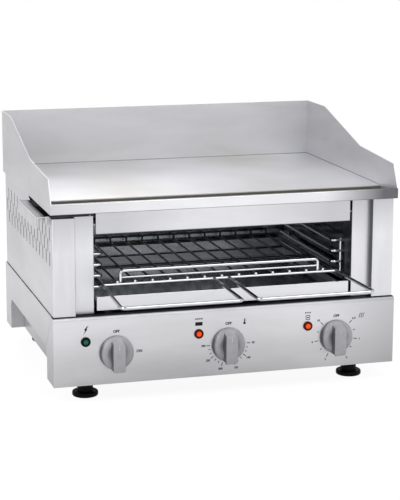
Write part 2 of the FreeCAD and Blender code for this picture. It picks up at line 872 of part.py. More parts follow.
def griddle_elements():
    """Hairpin elements under the plate, the bars that clamp them and the posts of the bars."""
    hairpins = []
    terminals = []
    low = "element_z - element_drop"
    for n in (-2, 0, 2):
        x0, x1 = f"({n} - 0.5) * griddle_leg_pitch", f"({n} + 0.5) * griddle_leg_pitch"
        hairpins.append(bent_wire("element_radius", "element_bend", [
            (x0, "element_back", low), (x0, "element_back", "element_z"),
            (x0, "element_front", "element_z"), (x1, "element_front", "element_z"),
            (x1, "element_back", "element_z"), (x1, "element_back", low)]))
        terminals += [rod(x, "element_back", low, "terminal_radius", "terminal_length", "-Z")
                      for x in (x0, x1)]
    node("griddle_elements", group(*hairpins))
    reach = "2.5 * griddle_leg_pitch + clamp_end"
    bars = []
    posts = []
    count = int(measure("clamp_count")[0])
    for row in range(count):
        y = f"element_front + ({row} + 0.5) * (element_back - element_front) / clamp_count"
        bars.append(box(f"-({reach})", reach, f"{y} - clamp_width / 2", f"{y} + clamp_width / 2",
                        "clamp_low", "clamp_top"))
        posts += [rod(f"{column} * griddle_leg_pitch", y, "clamp_top", "post_radius",
                      "plate_bottom - clamp_top") for column in (-2, -1, 1, 2)]
    node("element_clamps", group(*bars))
    node("clamp_posts", group(*posts))
    return terminals


def toasting_elements(terminals):
    """Elements under the cavity's ceiling with their hangers, and all element terminals."""
    legs = toast_legs()
    loops = []
    for x0, x1 in zip(legs[::2], legs[1::2]):
        y0 = "recess_y + toast_front_set"
        loops.append(bent_wire("element_radius", "element_bend", [
            (x0, "toast_y", "toast_z"), (x0, y0, "toast_z"), (x1, y0, "toast_z"),
            (x1, "toast_y", "toast_z")]))
    node("toasting_elements", group(*loops))
    terminals += [rod(x, "toast_y", "toast_z", "terminal_radius", "terminal_length", "+Y")
                  for x in legs]
    node("element_terminals", group(*terminals))
    hangers = []
    low = "toast_z - element_radius"
    for y in ("recess_y + hanger_set", "cavity_back - hanger_set"):
        y0, y1 = f"{y} - hanger_width / 2", f"{y} + hanger_width / 2"
        strap = box("-rail_x", "rail_x", y0, y1, f"{low} - sheet", low)
        posts = [box(x0, x1, y0, y1, f"{low} - sheet", "ceiling_z")
                 for x0, x1 in (("-rail_x - sheet", "-rail_x"), ("rail_x", "rail_x + sheet"))]
        hangers.append(fuse(strap, *posts))
    node("element_hangers", group(*hangers))


def insulation():
    """Ceramic-fibre blanket between the two sets of elements, beside the grease drawer."""
    node("insulation_blanket", box("drawer_x1 + blanket_gap", "half_opening", "jamb_y",
                                   "cavity_back", "ceiling_z + sheet", "clamp_low - blanket_air"))


def runner(name, side):
    """Wire runner with its rails on two uprights, pegged to the cavity's wall."""
    inner, outer = f"{side} * rail_x", f"{side} * upright_x"
    outward = "+X" if side > 0 else "-X"
    rails = int(measure("rail_count")[0])
    wires = []
    for row in range(rails):
        z = f"rail_z + {row} * rail_pitch"
        wires.append(bent_wire("wire_radius", "runner_bend", [
            (outer, "jamb_y", z), (inner, "jamb_y", z), (inner, "runner_back", z),
            (outer, "runner_back", z)]))
    for y in ("jamb_y", "runner_back"):
        wires.append(rod(outer, y, "rail_z - wire_radius", "upright_radius",
                         "(rail_count - 1) * rail_pitch + 2 * wire_radius"))
        wires += [rod(outer, y, f"rail_z + {row} * rail_pitch", "peg_radius", "upright_inset",
                      outward) for row in (rails - 2, rails - 1)]
    node(name, fuse(*wires))


def toast_rack():
    """Welded wire rack with two pull handles, cross wires, a raised front rail and a back fence."""
    parts = []
    for side in (-1, 1):
        outer, inner = f"{side} * rack_half", f"{side} * handle_gap / 2"
        parts.append(bent_wire("wire_radius", "handle_bend", [
            (outer, "rack_back", "rack_z"), (outer, "rack_front", "rack_z"),
            (f"{side} * (rack_half + handle_flare)", "handle_front", "rack_z"),
            (inner, "handle_front", "rack_z"), (inner, "rack_front", "rack_z")]))
    for y in ("rack_front", "rack_front + middle_bar_set", "rack_back"):
        parts.append(rod("-rack_half", y, "rack_z", "cross_wire_radius", "2 * rack_half", "+X"))
    node("rack_frame", fuse(*parts))
    last = round(measure("slat_end / slat_pitch")[0])
    slats = []
    for n in range(-last, last + 1):
        x = f"{n} * slat_pitch"
        slats.append(bent_wire("slat_radius", "slat_bend", [
            (x, "rack_front - wire_radius", "slat_z"), (x, "rack_back - slat_radius", "slat_z"),
            (x, "rack_back - slat_radius", "slat_z + slat_rise")]))
    node("rack_slats", group(*slats))
    node("rack_fence", rod("-slat_end - slat_radius", "rack_back + slat_radius",
                           "slat_z + slat_rise - slat_radius", "slat_radius",
                           "2 * (slat_end + slat_radius)", "+X"))
    foot, top = "rack_z - wire_radius", "rack_z + arch_height"
    arch = bent_wire("wire_radius", "arch_bend", [
        ("-arch_half", "arch_y", foot), ("-arch_half", "arch_y", top),
        ("arch_half", "arch_y", top), ("arch_half", "arch_y", foot)])
    middle = rod("-arch_half", "arch_y", "rack_z + arch_middle", "arch_wire", "2 * arch_half", "+X")
    node("rack_rail", fuse(arch, middle))


def crumb_tray():
    """Sliding tray with a plain front and a shallow pan, and the strips that it slides on."""
    face = across_x([
        ("recess_y", "crumb_low"),
        ("recess_y", "crumb_top"),
        ("recess_y + fascia_hem", "crumb_top"),
        ("recess_y + fascia_hem", "crumb_top - sheet"),
        ("recess_y + sheet", "crumb_top - sheet"),
        ("recess_y + sheet", "crumb_low"),
    ], "-crumb_half", "crumb_half")
    edge_y, high = measure("recess_y", "crumb_top")
    round_body(face, "sheet", lambda e: runs_along(e, 0) and passes(e, y=edge_y, z=high))
    half = "(crumb_half - crumb_pan_gap)"
    pan = box(f"-{half}", half, "recess_y + sheet", "crumb_back",
              "crumb_floor", "crumb_floor + crumb_wall")
    inside = box(f"-{half} + sheet", f"{half} - sheet", "recess_y", "crumb_back - sheet",
                 "crumb_floor + sheet", "crumb_floor + crumb_wall + seam")
    node("crumb_tray", fuse(face, cut(pan, inside)))
    slide_x = "(half_opening - slide_inset)"
    strips = [box(x0, x1, "recess_y + hood_flange", "crumb_back", "base_top",
                  "base_top + slide_height")
              for x0, x1 in ((f"-{slide_x}", f"-{slide_x} + slide_width"),
                             (f"{slide_x} - slide_width", slide_x))]
    node("crumb_tray_slides", group(*strips))


def control_holes():
    """Holes in the front panel for the spindles and the lamp bodies."""
    holes = []
    for n in (-1, 0, 1):
        x = f"{n} * control_pitch"
        holes.append(rod(x, "base_front - seam", "knob_z", "spindle_radius + spindle_hole_gap",
                         "sheet + 2 * seam", "+Y"))
        holes.append(rod(f"{x} - lamp_side", "base_front - seam", "lamp_z",
                         "lamp_stem_radius + bolt_clearance", "sheet + 2 * seam", "+Y"))
    return holes


def base_front_panel():
    """Control panel with a rolled top edge and tapered returns that form the front legs."""
    skin = across_x([
        ("base_front", "foot_height"),
        ("base_front", "base_top"),
        ("base_front + panel_flange", "base_top"),
        ("base_front + panel_flange", "base_top - sheet"),
        ("panel_inside", "base_top - sheet"),
        ("panel_inside", "foot_height"),
    ], "-half_base", "half_base")
    edge_y, edge_z, inner_y, inner_z = measure("base_front", "base_top", "panel_inside",
                                               "base_top - sheet")
    round_body(skin, "panel_roll", lambda e: runs_along(e, 0) and passes(e, y=edge_y, z=edge_z))
    round_body(skin, "panel_roll - sheet",
               lambda e: runs_along(e, 0) and passes(e, y=inner_y, z=inner_z))
    bend = "(panel_roll - (panel_roll - sheet) * cos(45 deg))"
    points = [
        ("base_front", "foot_height"),
        ("leg_y", "foot_height"),
        ("leg_y", "skirt_z - leg_slope"),
        ("leg_y + leg_shoulder", "skirt_z"),
        ("base_front + return_top_depth", "base_top - sheet"),
        ("base_front + panel_roll", "base_top - sheet"),
        (f"base_front + {bend}", f"base_top - {bend}"),
        ("base_front", "base_top - panel_roll"),
    ]
    returns = [across_x(points, x0, x1) for x0, x1 in (("-half_base", "-half_base + sheet"),
                                                       ("half_base - sheet", "half_base"))]
    node("base_front_panel", cut(fuse(skin, *returns), *control_holes()))


def base_side(name, side):
    """Side skirt that runs down into the rear leg, with the leg's front flange."""
    ends = ("half_base - sheet", "half_base")
    x0, x1 = [f"{side} * ({end})" for end in ends[::side]]
    skirt = across_x([
        ("skirt_y", "base_top - sheet"),
        ("base_front + panel_flange", "base_top - sheet"),
        ("base_front + panel_flange", "base_top"),
        ("back", "base_top"),
        ("back", "foot_height"),
        ("rear_leg_y", "foot_height"),
        ("rear_leg_y", "skirt_z"),
        ("leg_y + leg_shoulder + skirt_gap", "skirt_z"),
    ], x0, x1)
    corner_y, corner_z = measure("rear_leg_y", "skirt_z")
    round_body(skirt, "rear_leg_round", lambda e: runs_along(e, 0)
               and passes(e, y=corner_y, z=corner_z))
    ends = ("half_base - leg_flange", "half_base - sheet")
    x0, x1 = [f"{side} * ({end})" for end in ends[::side]]
    flange = box(x0, x1, "rear_leg_y", "rear_leg_y + sheet", "foot_height", "skirt_z + flange_rise")
    node(name, fuse(skirt, flange))


def base_covers():
    """Deck on top of the base, its rear panel and the housing under the deck."""
    deck = box("-half_base + sheet", "half_base - sheet", "base_front + panel_flange",
               "back - sheet", "base_top - sheet", "base_top")
    deck_hole = rod(0, "capillary_y", "base_top - 2 * sheet", "capillary_radius + fit_gap",
                    "4 * sheet")
    node("base_deck", cut(deck, deck_hole))
    rear = box("-half_base + sheet", "half_base - sheet", "back - sheet", "back",
               "skirt_z", "base_top - sheet")
    gland_hole = rod("gland_x", "back - 2 * sheet", "gland_z", "gland_radius + contact_gap",
                     "4 * sheet", "+Y")
    node("base_rear_panel", cut(rear, gland_hole))
    outer = box("-housing_half", "housing_half", "housing_front", "housing_y", "foot_height",
                "base_top - sheet")
    inner = box("-housing_half + sheet", "housing_half - sheet", "base_front",
                "housing_y - sheet", "foot_height + sheet", "base_top")
    node("control_housing", cut(outer, inner))


def supply_entry():
    """Cable gland in the rear panel with its lock nut, and the terminal block in the housing."""
    inner_y = "back - gland_inside"
    barrel = rod("gland_x", inner_y, "gland_z", "gland_radius", "gland_inside + gland_reach", "+Y")
    flange = rod("gland_x", "back", "gland_z", "gland_flange", "gland_reach / 2", "+Y")
    bore = rod("gland_x", f"{inner_y} - seam", "gland_z", "gland_bore",
               "gland_inside + gland_reach + 2 * seam", "+Y")
    node("cable_gland", cut(fuse(barrel, flange), bore))
    nut = rod("gland_x", "back - sheet", "gland_z", "gland_flange", "nut_height", "-Y")
    thread = rod("gland_x", "back", "gland_z", "gland_radius", "2 * nut_height", "-Y")
    node("gland_nut", cut(nut, thread))
    floor = "foot_height + sheet"
    block = box("terminal_x", "terminal_x + terminal_width", "terminal_y",
                "terminal_y + terminal_depth", floor, f"{floor} + terminal_height")
    ways = int(measure("terminal_ways")[0])
    wells = [rod(f"terminal_x + {n + 0.5} * terminal_width / terminal_ways",
                 "terminal_y + terminal_depth / 2", f"{floor} + terminal_height / 2",
                 "terminal_well", "terminal_height") for n in range(ways)]
    node("terminal_block", cut(block, *wells))


def control(name, n, kind):
    """Switch, thermostat or regulator behind the panel, bored for its spindle."""
    x = f"{n} * control_pitch"
    end = f"panel_inside + {kind}_depth"
    block = box(f"{x} - {kind}_width / 2", f"{x} + {kind}_width / 2", "panel_inside", end,
                f"knob_z - {kind}_height / 2", f"knob_z + {kind}_height / 2")
    bore = rod(x, "base_front", "knob_z", "spindle_radius + bearing_gap",
               "spindle_length - socket_depth", "+Y")
    tab = box(f"{x} - tab_width / 2", f"{x} + tab_width / 2", end, f"{end} + tab_length",
              "knob_z - tab_height / 2", "knob_z + tab_height / 2")
    node(name, fuse(cut(block, bore), tab))


def knob(name, n):
    """Moulded knob with a round skirt and a grip bar, on its own spindle."""
    x = f"{n} * control_pitch"
    face = "base_front - seam"
    skirt = taper(x, face, "knob_z", "knob_radius", "knob_top_radius", "knob_skirt", "-Y")
    disc = rod(x, f"{face} - knob_skirt", "knob_z", "knob_top_radius", "knob_disc", "-Y")
    bar = box(f"{x} - grip_width / 2", f"{x} + grip_width / 2", "base_front - knob_depth",
              f"{face} - knob_skirt", "knob_z - knob_radius", "knob_z + grip_reach")
    limit = rod(x, "base_front", "knob_z", "knob_radius", "knob_depth + seam", "-Y")
    socket = rod(x, face, "knob_z", "spindle_radius", "socket_depth", "-Y")
    moulding = cut(fuse(skirt, disc, keep_inside(bar, limit)), socket)
    tip = measure("base_front - knob_depth")[0]
    rounded = round_edges(moulding, "grip_round", lambda e: abs(e.CenterOfMass.y - tip) < 0.01)
    node(f"{name}_knob", rounded)
    node(f"{name}_spindle", rod(x, f"{face} - socket_depth", "knob_z", "spindle_radius",
                                "spindle_length", "+Y"))


def lamp(name, n):
    """Indicator lamp's bezel and body in one moulding, with a coloured lens in front."""
    x = f"{n} * control_pitch - lamp_side"
    bezel = rod(x, "base_front", "lamp_z", "lamp_radius", "lamp_bezel", "-Y")
    stem = rod(x, "base_front - lamp_bezel / 2", "lamp_z", "lamp_stem_radius",
               "lamp_stem_length", "+Y")
    well = rod(x, "base_front", "lamp_z", "lamp_lens_radius", "lamp_bezel + seam", "-Y")
    lens = rod(x, "base_front", "lamp_z", "lamp_lens_radius", "lamp_bezel + lamp_dome", "-Y")
    tip = measure("base_front - lamp_bezel - lamp_dome")[0]
    node(f"{name}_lamp_lens", round_edges(lens, "lamp_dome", lambda e: abs(e.CenterOfMass.y - tip) < 0.01))
    return cut(fuse(bezel, stem), well)


def controls():
    """The three controls with their knobs and lamps."""
    control("power_switch", -1, "switch")
    control("thermostat", 0, "thermostat")
    control("energy_regulator", 1, "regulator")
    bodies = []
    for name, n in (("power", -1), ("griddle", 0), ("toaster", 1)):
        knob(name, n)
        bodies.append(lamp(name, n))
    node("lamp_bodies", group(*bodies))


def thermostat_bulb():
    """Bulb under the plate with the capillary that runs down to the thermostat."""
    z = "plate_bottom - bulb_radius - contact_gap"
    end = "element_back - bulb_back_set"
    bulb = rod(0, f"{end} - bulb_length", z, "bulb_radius", "bulb_length", "+Y")
    capillary = bent_wire("capillary_radius", "capillary_bend", [
        (0, f"{end} - seam", z), (0, "capillary_y", z), (0, "capillary_y", "capillary_z"),
        (0, "panel_inside + thermostat_depth", "capillary_z")])
    node("thermostat_bulb", fuse(bulb, capillary))


def hexagon(x, y, z, radius, height):
    """Hexagonal prism that stands on a point."""
    prism = doc.addObject("Part::Prism", "Hexagon")
    prism.Polygon = 6
    bind(prism, "Circumradius", radius)
    bind(prism, "Height", height)
    locate(prism, x, y, z)
    return prism


def feet():
    """Four moulded feet, each held by a bolt under a corner plate of the base."""
    pads = []
    bolts = []
    plates = []
    edges = ("half_base - sheet - foot_plate_width", "half_base - sheet")
    for side in (-1, 1):
        x = f"{side} * foot_x"
        x0, x1 = [f"{side} * ({edge})" for edge in edges[::side]]
        for y, y0, y1 in (("foot_front_y", "panel_inside", "leg_y"),
                          ("foot_back_y", "rear_leg_y + sheet", "back - sheet")):
            disc = round_edges(rod(x, y, 0, "foot_radius", "foot_disc"), "foot_round",
                               lambda e: e.Curve.TypeId == "Part::GeomCircle")
            neck = taper(x, y, "foot_disc - seam", "foot_neck", "foot_stem",
                         "foot_height - foot_disc + seam")
            bore = rod(x, y, "foot_disc", "bolt_radius", "foot_height")
            pads.append(cut(fuse(disc, neck), bore))
            shank = rod(x, y, "foot_disc", "bolt_radius",
                        "foot_height - foot_disc + foot_plate_sheet")
            head = hexagon(x, y, "foot_height + foot_plate_sheet", "bolt_head", "bolt_head_height")
            bolts.append(fuse(shank, head))
            plate = box(x0, x1, y0, y1, "foot_height", "foot_height + foot_plate_sheet")
            hole = rod(x, y, "foot_height - seam", "bolt_radius + bolt_clearance",
                       "foot_plate_sheet + 2 * seam")
            plates.append(cut(plate, hole))
    node("foot_pads", group(*pads))
    node("foot_bolts", group(*bolts))
    node("foot_plates", group(*plates))


def wiring():
    """Leads that run from the terminal block to the controls along the housing's floor."""
    leads = []
    z = "foot_height + sheet + lead_radius + contact_gap"
    for n, kind in ((-1, "switch"), (0, "thermostat"), (1, "regulator")):
        x = f"terminal_x + terminal_width / 2 + {n} * lead_pitch"
        turn_y = f"terminal_y - lead_row - {n} * lead_pitch"
        end_x = f"{n} * control_pitch"
        end_y = f"panel_inside + {kind}_depth + tab_length"
        leads.append(bent_wire("lead_radius", "lead_bend", [
            (x, "terminal_y", z), (x, turn_y, z), (end_x, turn_y, z),
            (end_x, f"{end_y} + lead_reach", z), (end_x, f"{end_y} + lead_reach", "knob_z"),
            (end_x, end_y, "knob_z")]))
    node("wiring_leads", group(*leads))


def check_and_export():
    """Stop if anything failed to build, and otherwise write each node's solid."""
    doc.recompute()
    failed = [thing.Label for thing in doc.Objects if {"Invalid", "Error"} & set(thing.State)]
    if failed:
        raise RuntimeError(f"objects that did not build: {failed}")
    os.makedirs("parts", exist_ok=True)
    for name, thing in nodes.items():
        shape = thing.Shape
        if shape.isNull() or not shape.isValid() or not shape.Solids:
            raise RuntimeError(f"{name} has no valid solid")
        shape.exportStep(f"parts/{name}.step")
        corners = shape.BoundBox
        print(f"{name}: {len(shape.Solids)} solids, {shape.Volume / 1000:.2f} cm3, "
              f"x {corners.XMin:.1f} to {corners.XMax:.1f}, y {corners.YMin:.1f} to {corners.YMax:.1f}, "
              f"z {corners.ZMin:.1f} to {corners.ZMax:.1f}")


splash_guard()
griddle_plate()
front_gutter()
drain_spout()
grease_drawer()
drawer_slides()
hood_panel()
hood_pins()
pillar("pillar_left", -1, "body_top")
pillar("pillar_right", 1, "tray_bottom")
side_panel("side_panel_left", -1)
side_panel("side_panel_right", 1)
rear_panel()
cover_screws()
cavity_walls()
toasting_elements(griddle_elements())
insulation()
runner("rack_runner_left", -1)
runner("rack_runner_right", 1)
toast_rack()
crumb_tray()
base_front_panel()
base_side("base_side_left", -1)
base_side("base_side_right", 1)
base_covers()
supply_entry()
controls()
thermostat_bulb()
feet()
wiring()
check_and_export()
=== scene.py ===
"""Dresses the griddle toaster: finishes for its CAD pieces, moulded and printed details, stage."""

import logging
import math
from dataclasses import dataclass, replace
from enum import Enum
from typing import Any, Iterable, Sequence

import bmesh
import bpy
from mathutils import Matrix, Vector


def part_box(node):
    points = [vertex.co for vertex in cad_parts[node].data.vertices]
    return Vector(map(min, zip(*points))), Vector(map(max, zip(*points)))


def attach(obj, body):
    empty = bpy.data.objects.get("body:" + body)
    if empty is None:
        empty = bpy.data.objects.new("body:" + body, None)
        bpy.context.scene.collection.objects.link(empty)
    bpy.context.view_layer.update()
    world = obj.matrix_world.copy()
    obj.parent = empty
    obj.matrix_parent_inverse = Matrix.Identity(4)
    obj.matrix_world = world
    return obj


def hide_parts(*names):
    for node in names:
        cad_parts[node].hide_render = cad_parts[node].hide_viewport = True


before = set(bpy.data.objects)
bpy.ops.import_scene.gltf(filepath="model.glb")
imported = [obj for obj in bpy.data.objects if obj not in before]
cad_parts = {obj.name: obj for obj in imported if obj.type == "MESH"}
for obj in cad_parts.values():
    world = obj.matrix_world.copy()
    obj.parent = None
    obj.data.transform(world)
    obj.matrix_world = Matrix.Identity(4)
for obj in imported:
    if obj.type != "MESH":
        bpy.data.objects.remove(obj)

Colour = tuple[float, float, float, float]
Mesh = bmesh.types.BMesh
Outline = Sequence[tuple[float, float]]
Socket = bpy.types.NodeSocket
Stops = tuple[tuple[float, float], ...]
Tree = bpy.types.NodeTree
Triple = tuple[float, float, float]

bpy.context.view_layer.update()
LOG = logging.getLogger("griddle_toaster")
MM = 0.001
WHITE: Colour = (1.0, 1.0, 1.0, 1.0)
UPRIGHT = Matrix.Rotation(math.radians(90), 4, "X")


def linear(hex_colour: str, share: float = 1.0) -> Colour:
    """Turns an sRGB hex colour into linear light.

    Args:
        hex_colour: Six hex digits, such as "C8C9CC".
        share: Share of the light that is kept, to darken the colour.

    Returns:
        Red, green, blue and an alpha of 1.
    """
    parts = [int(hex_colour[n:n + 2], 16) / 255 for n in (0, 2, 4)]
    light = [c / 12.92 if c <= 0.04045 else ((c + 0.055) / 1.055) ** 2.4 for c in parts]
    return (light[0] * share, light[1] * share, light[2] * share, 1.0)


def add_node(tree: Tree, kind: str, links: dict[Any, Socket] | None = None,
             values: dict[Any, Any] | None = None, stops: Sequence[tuple[float, Any]] = (),
             **settings: Any) -> bpy.types.Node:
    """Adds one shader node with its settings, socket values and incoming links.

    Args:
        tree: Tree that gets the node.
        kind: Node type name without the ShaderNode prefix.
        links: Input name or index to the output socket that feeds it.
        values: Input name or index to a constant.
        stops: A ramp's positions with their linear colours or grey levels.
        settings: Properties of the node itself.

    Returns:
        The new node.
    """
    node = tree.nodes.new("ShaderNode" + kind)
    for name, value in settings.items():
        setattr(node, name, value)
    for name, value in (values or {}).items():
        node.inputs[name].default_value = value
    for name, socket in (links or {}).items():
        tree.links.new(socket, node.inputs[name])
    for _ in stops[2:]:
        node.color_ramp.elements.new(0.5)
    for n, (position, value) in enumerate(stops):
        element = node.color_ramp.elements[n]
        element.position = position
        element.color = value if isinstance(value, tuple) else (value, value, value, 1.0)
    return node


@dataclass(frozen=True)
class Surface:
    """A material under construction: node tree, shader and object coordinates."""

    tree: Tree
    shader: bpy.types.Node
    place: Socket

    def feed(self, sockets: dict[str, Socket]) -> None:
        """Feeds inputs of the shader by their names."""
        for name, socket in sockets.items():
            self.tree.links.new(socket, self.shader.inputs[name])

    def facing(self, axis: str, least: float, most: float) -> Socket:
        """Masks the faces whose normal leans far enough along one object axis.

        Args:
            axis: X, Y or Z.
            least: Share of the normal at which the mask is 0.
            most: Share at which it is 1.

        Returns:
            The mask, from 0 to 1.
        """
        normal = add_node(self.tree, "TexCoord").outputs["Normal"]
        split = add_node(self.tree, "SeparateXYZ", {0: normal})
        return add_node(self.tree, "MapRange", {"Value": split.outputs[axis]},
                        {"From Min": least, "From Max": most}).outputs[0]

    def between(self, axis: str, zero: float, one: float) -> Socket:
        """Masks one side of the surface along an object axis.

        Args:
            axis: X, Y or Z.
            zero: Position in metres where the mask is 0.
            one: Position where it is 1.

        Returns:
            The mask, from 0 to 1.
        """
        split = add_node(self.tree, "SeparateXYZ", {0: self.place})
        return add_node(self.tree, "MapRange", {"Value": split.outputs[axis]},
                        {"From Min": zero, "From Max": one}).outputs[0]

    def stain_and_shade(self, mask: Socket, colour: str) -> None:
        """Blends the base colour, which is linked already, towards a darker colour: real stains at
        some places, painted shade at most.

        Args:
            mask: Share of the stain.
            colour: The sRGB colour it tends to.
        """
        clean = self.shader.inputs["Base Color"].links[0].from_socket
        mixed = add_node(self.tree, "Mix", {"Factor": mask, 6: clean}, {7: linear(colour)},
                         data_type="RGBA")
        self.feed({"Base Color": mixed.outputs[2]})

    def wear(self, mask: Socket, roughness: float) -> None:
        """Blends the roughness, which is linked already, towards that of wear.

        Args:
            mask: Share of the wear.
            roughness: The worn roughness.
        """
        ground = self.shader.inputs["Roughness"].links[0].from_socket
        mixed = add_node(self.tree, "Mix", {"Factor": mask, "A": ground}, {"B": roughness})
        self.feed({"Roughness": mixed.outputs[0]})

    def mottle(self, pattern: bpy.types.Node, colour: str, share: float) -> None:
        """Colours the surface by a noise, from a share of the colour up to all of it.

        Args:
            pattern: The noise.
            colour: The sRGB colour.
            share: Share of its light where the noise is low.
        """
        tone = add_node(self.tree, "ValToRGB", {"Fac": pattern.outputs["Fac"]},
                        stops=((0.3, linear(colour, share)), (0.7, linear(colour))))
        self.feed({"Base Color": tone.outputs[0]})


class Grain(Enum):
    """How far a pattern is drawn out along each axis, as cycles per metre."""

    ALONG_WALLS = (4.0, 4.0, 300.0)
    ALONG_FLAT = (4.0, 300.0, 4.0)
    ALONG_POSTS = (300.0, 300.0, 4.0)
    EVEN = (60.0, 60.0, 60.0)

    def clouded(self) -> Triple:
        """Draws clouds out less than scratches."""
        return tuple(1.0 if cycles < 10 else 4.0 for cycles in self.value)


@dataclass(frozen=True)
class Finish:
    """A surface finish; each kind adds its own patterns and marks to a Principled shader."""

    name: str
    colour: str
    roughness: float = 0.4
    metallic: float = 0.0

    def dress(self, surface: Surface) -> None:
        """Adds the finish's patterns; a plain finish has none."""

    def mark(self, surface: Surface) -> None:
        """Adds stains and wear over the patterns; most finishes have none."""

    def material(self) -> bpy.types.Material:
        """Builds the material once, or returns it.

        Returns:
            The Blender material.
        """
        known = bpy.data.materials.get(self.name)
        if known:
            return known
        made = bpy.data.materials.new(self.name)
        made.use_nodes = True
        tree = made.node_tree
        shader = tree.nodes["Principled BSDF"]
        shader.inputs["Base Color"].default_value = linear(self.colour)
        shader.inputs["Roughness"].default_value = self.roughness
        shader.inputs["Metallic"].default_value = self.metallic
        surface = Surface(tree, shader, add_node(tree, "TexCoord").outputs["Object"])
        self.dress(surface)
        self.mark(surface)
        made.diffuse_color = linear(self.colour)
        return made


@dataclass(frozen=True)
class BrushedSteel(Finish):
    """Stainless sheet ground in one direction: long fine scratches and faint cloudy handling.

    Each zone darkens the sheet between two positions along an axis, as painted shade and
    reflection:
    axis, position where it starts, position where it is full, colour. Each entry for faces darkens
    the faces that look one way, also as painted shade and reflection: axis, direction, colour.
    """

    metallic: float = 1.0
    grain: Grain = Grain.ALONG_WALLS
    scratch: float = 0.05
    cloud: float = 0.05
    streak: float = 0.03
    shade_zones: tuple[tuple[str, float, float, str], ...] = ()
    shaded_faces: tuple[tuple[str, float, str], ...] = ()

    def dress(self, surface: Surface) -> None:
        """Adds scratches to roughness and height, and clouds to the tone.

        Args:
            surface: The material.
        """
        tree, place = surface.tree, surface.place
        # Real scratches are under 0.1 mm wide; they are drawn a few times coarser to show at all.
        stretched = add_node(tree, "Mapping", {"Vector": place}, {"Scale": self.grain.value})
        lines = add_node(tree, "TexNoise", {"Vector": stretched.outputs[0]},
                         {"Scale": 4.0, "Detail": 6.0, "Roughness": 0.7}).outputs["Fac"]
        drawn = add_node(tree, "Mapping", {"Vector": place}, {"Scale": self.grain.clouded()})
        clouds = add_node(tree, "TexNoise", {"Vector": drawn.outputs[0]},
                          {"Scale": 5.0, "Detail": 4.0, "Roughness": 0.55, "Distortion": 0.4})
        rough = add_node(tree, "MapRange", {"Value": lines},
                         {"From Min": 0.3, "From Max": 0.7, "To Min": self.roughness - self.scratch,
                          "To Max": self.roughness + self.scratch})
        handled = add_node(tree, "ValToRGB", {"Fac": clouds.outputs["Fac"]},
                           stops=((0.35, linear(self.colour, 1 - 2 * self.cloud)),
                                  (0.65, linear(self.colour))))
        streaks = add_node(tree, "ValToRGB", {"Fac": lines},
                           stops=((0.25, 1 - 2 * self.streak), (0.75, 1.0)))
        tone = add_node(tree, "Mix", {6: handled.outputs[0], 7: streaks.outputs[0]},
                        {"Factor": 1.0}, data_type="RGBA", blend_type="MULTIPLY")
        bump = add_node(tree, "Bump", {"Height": lines}, {"Strength": 0.06, "Distance": 0.2 * MM})
        surface.feed({"Base Color": tone.outputs[2], "Roughness": rough.outputs[0],
                      "Normal": bump.outputs[0]})
        # Painted shade and reflection: darker zones along an axis, and darker faces that look one
        # way.
        for axis, zero, one, zone_shade in self.shade_zones:
            surface.stain_and_shade(surface.between(axis, zero, one), zone_shade)
        for axis, way, face_shade in self.shaded_faces:
            surface.stain_and_shade(surface.facing(axis, way * 0.5, way * 0.8), face_shade)


@dataclass(frozen=True)
class GutterSteel(BrushedSteel):
    """The same sheet as a gutter, darkened inside as painted shade."""

    rim: float = 0.0
    # Colour of the painted shade inside the gutter.
    painted_shade: str = "8A8681"

    def mark(self, surface: Surface) -> None:
        """Darkens the faces that lie inside the gutter, as painted shade.

        Args:
            surface: The material.
        """
        low = surface.between("Z", self.rim - 4 * MM, self.rim - 6 * MM)
        floor = add_node(surface.tree, "Math", {0: surface.facing("Z", 0.3, 0.7), 1: low},
                         operation="MULTIPLY")
        inside = add_node(surface.tree, "Math", {0: surface.facing("Y", 0.3, 0.7),
                                                 1: floor.outputs[0]}, operation="MAXIMUM")
        surface.stain_and_shade(inside.outputs[0], self.painted_shade)


@dataclass(frozen=True)
class PanelSteel(BrushedSteel):
    """The same sheet as a control panel: rougher on its rolled edge, and darkened on its flat top
    as painted shade under the crumb tray.
    """

    # Colour of the flat top: painted shade under the crumb tray.
    top: str = "262628"
    rolled: float = 0.62

    def mark(self, surface: Surface) -> None:
        """Roughens the rolled edge and darkens the flat top as painted shade."""
        surface.wear(surface.facing("Z", 0.05, 0.3), self.rolled)
        surface.stain_and_shade(surface.facing("Z", 0.8, 0.98), self.top)


@dataclass(frozen=True)
class DrawerSteel(BrushedSteel):
    """The same sheet as a grease drawer, painted black as shade on all that faces up inside the
    guard.
    """

    pan_shade_from: float = -300.5 * MM
    pan_shade: str = "0C0C0D"

    def mark(self, surface: Surface) -> None:
        """Adds the painted shade.

        Args:
            surface: The material.
        """
        # Painted shade: what faces up under the guard is black.
        under_guard = surface.between("X", self.pan_shade_from, self.pan_shade_from + 2 * MM)
        painted_shade = add_node(surface.tree, "Math", {0: surface.facing("Z", 0.5, 0.8), 1: under_guard},
                       operation="MULTIPLY")
        surface.stain_and_shade(painted_shade.outputs[0], self.pan_shade)


@dataclass(frozen=True)
class CrumbSteel(BrushedSteel):
    """The same sheet as a tray: ground outside, worn bright and smooth on the inside."""

    worn: float = 0.14
    inside: str = "B0B5BB"

    def mark(self, surface: Surface) -> None:
        """Smooths the faces that look up or back.

        Args:
            surface: The material.
        """
        inner = add_node(surface.tree, "Math", {0: surface.facing("Z", 0.5, 0.8),
                                                1: surface.facing("Y", 0.5, 0.8)},
                         operation="MAXIMUM").outputs[0]
        surface.wear(inner, self.worn)
        surface.stain_and_shade(inner, self.inside)


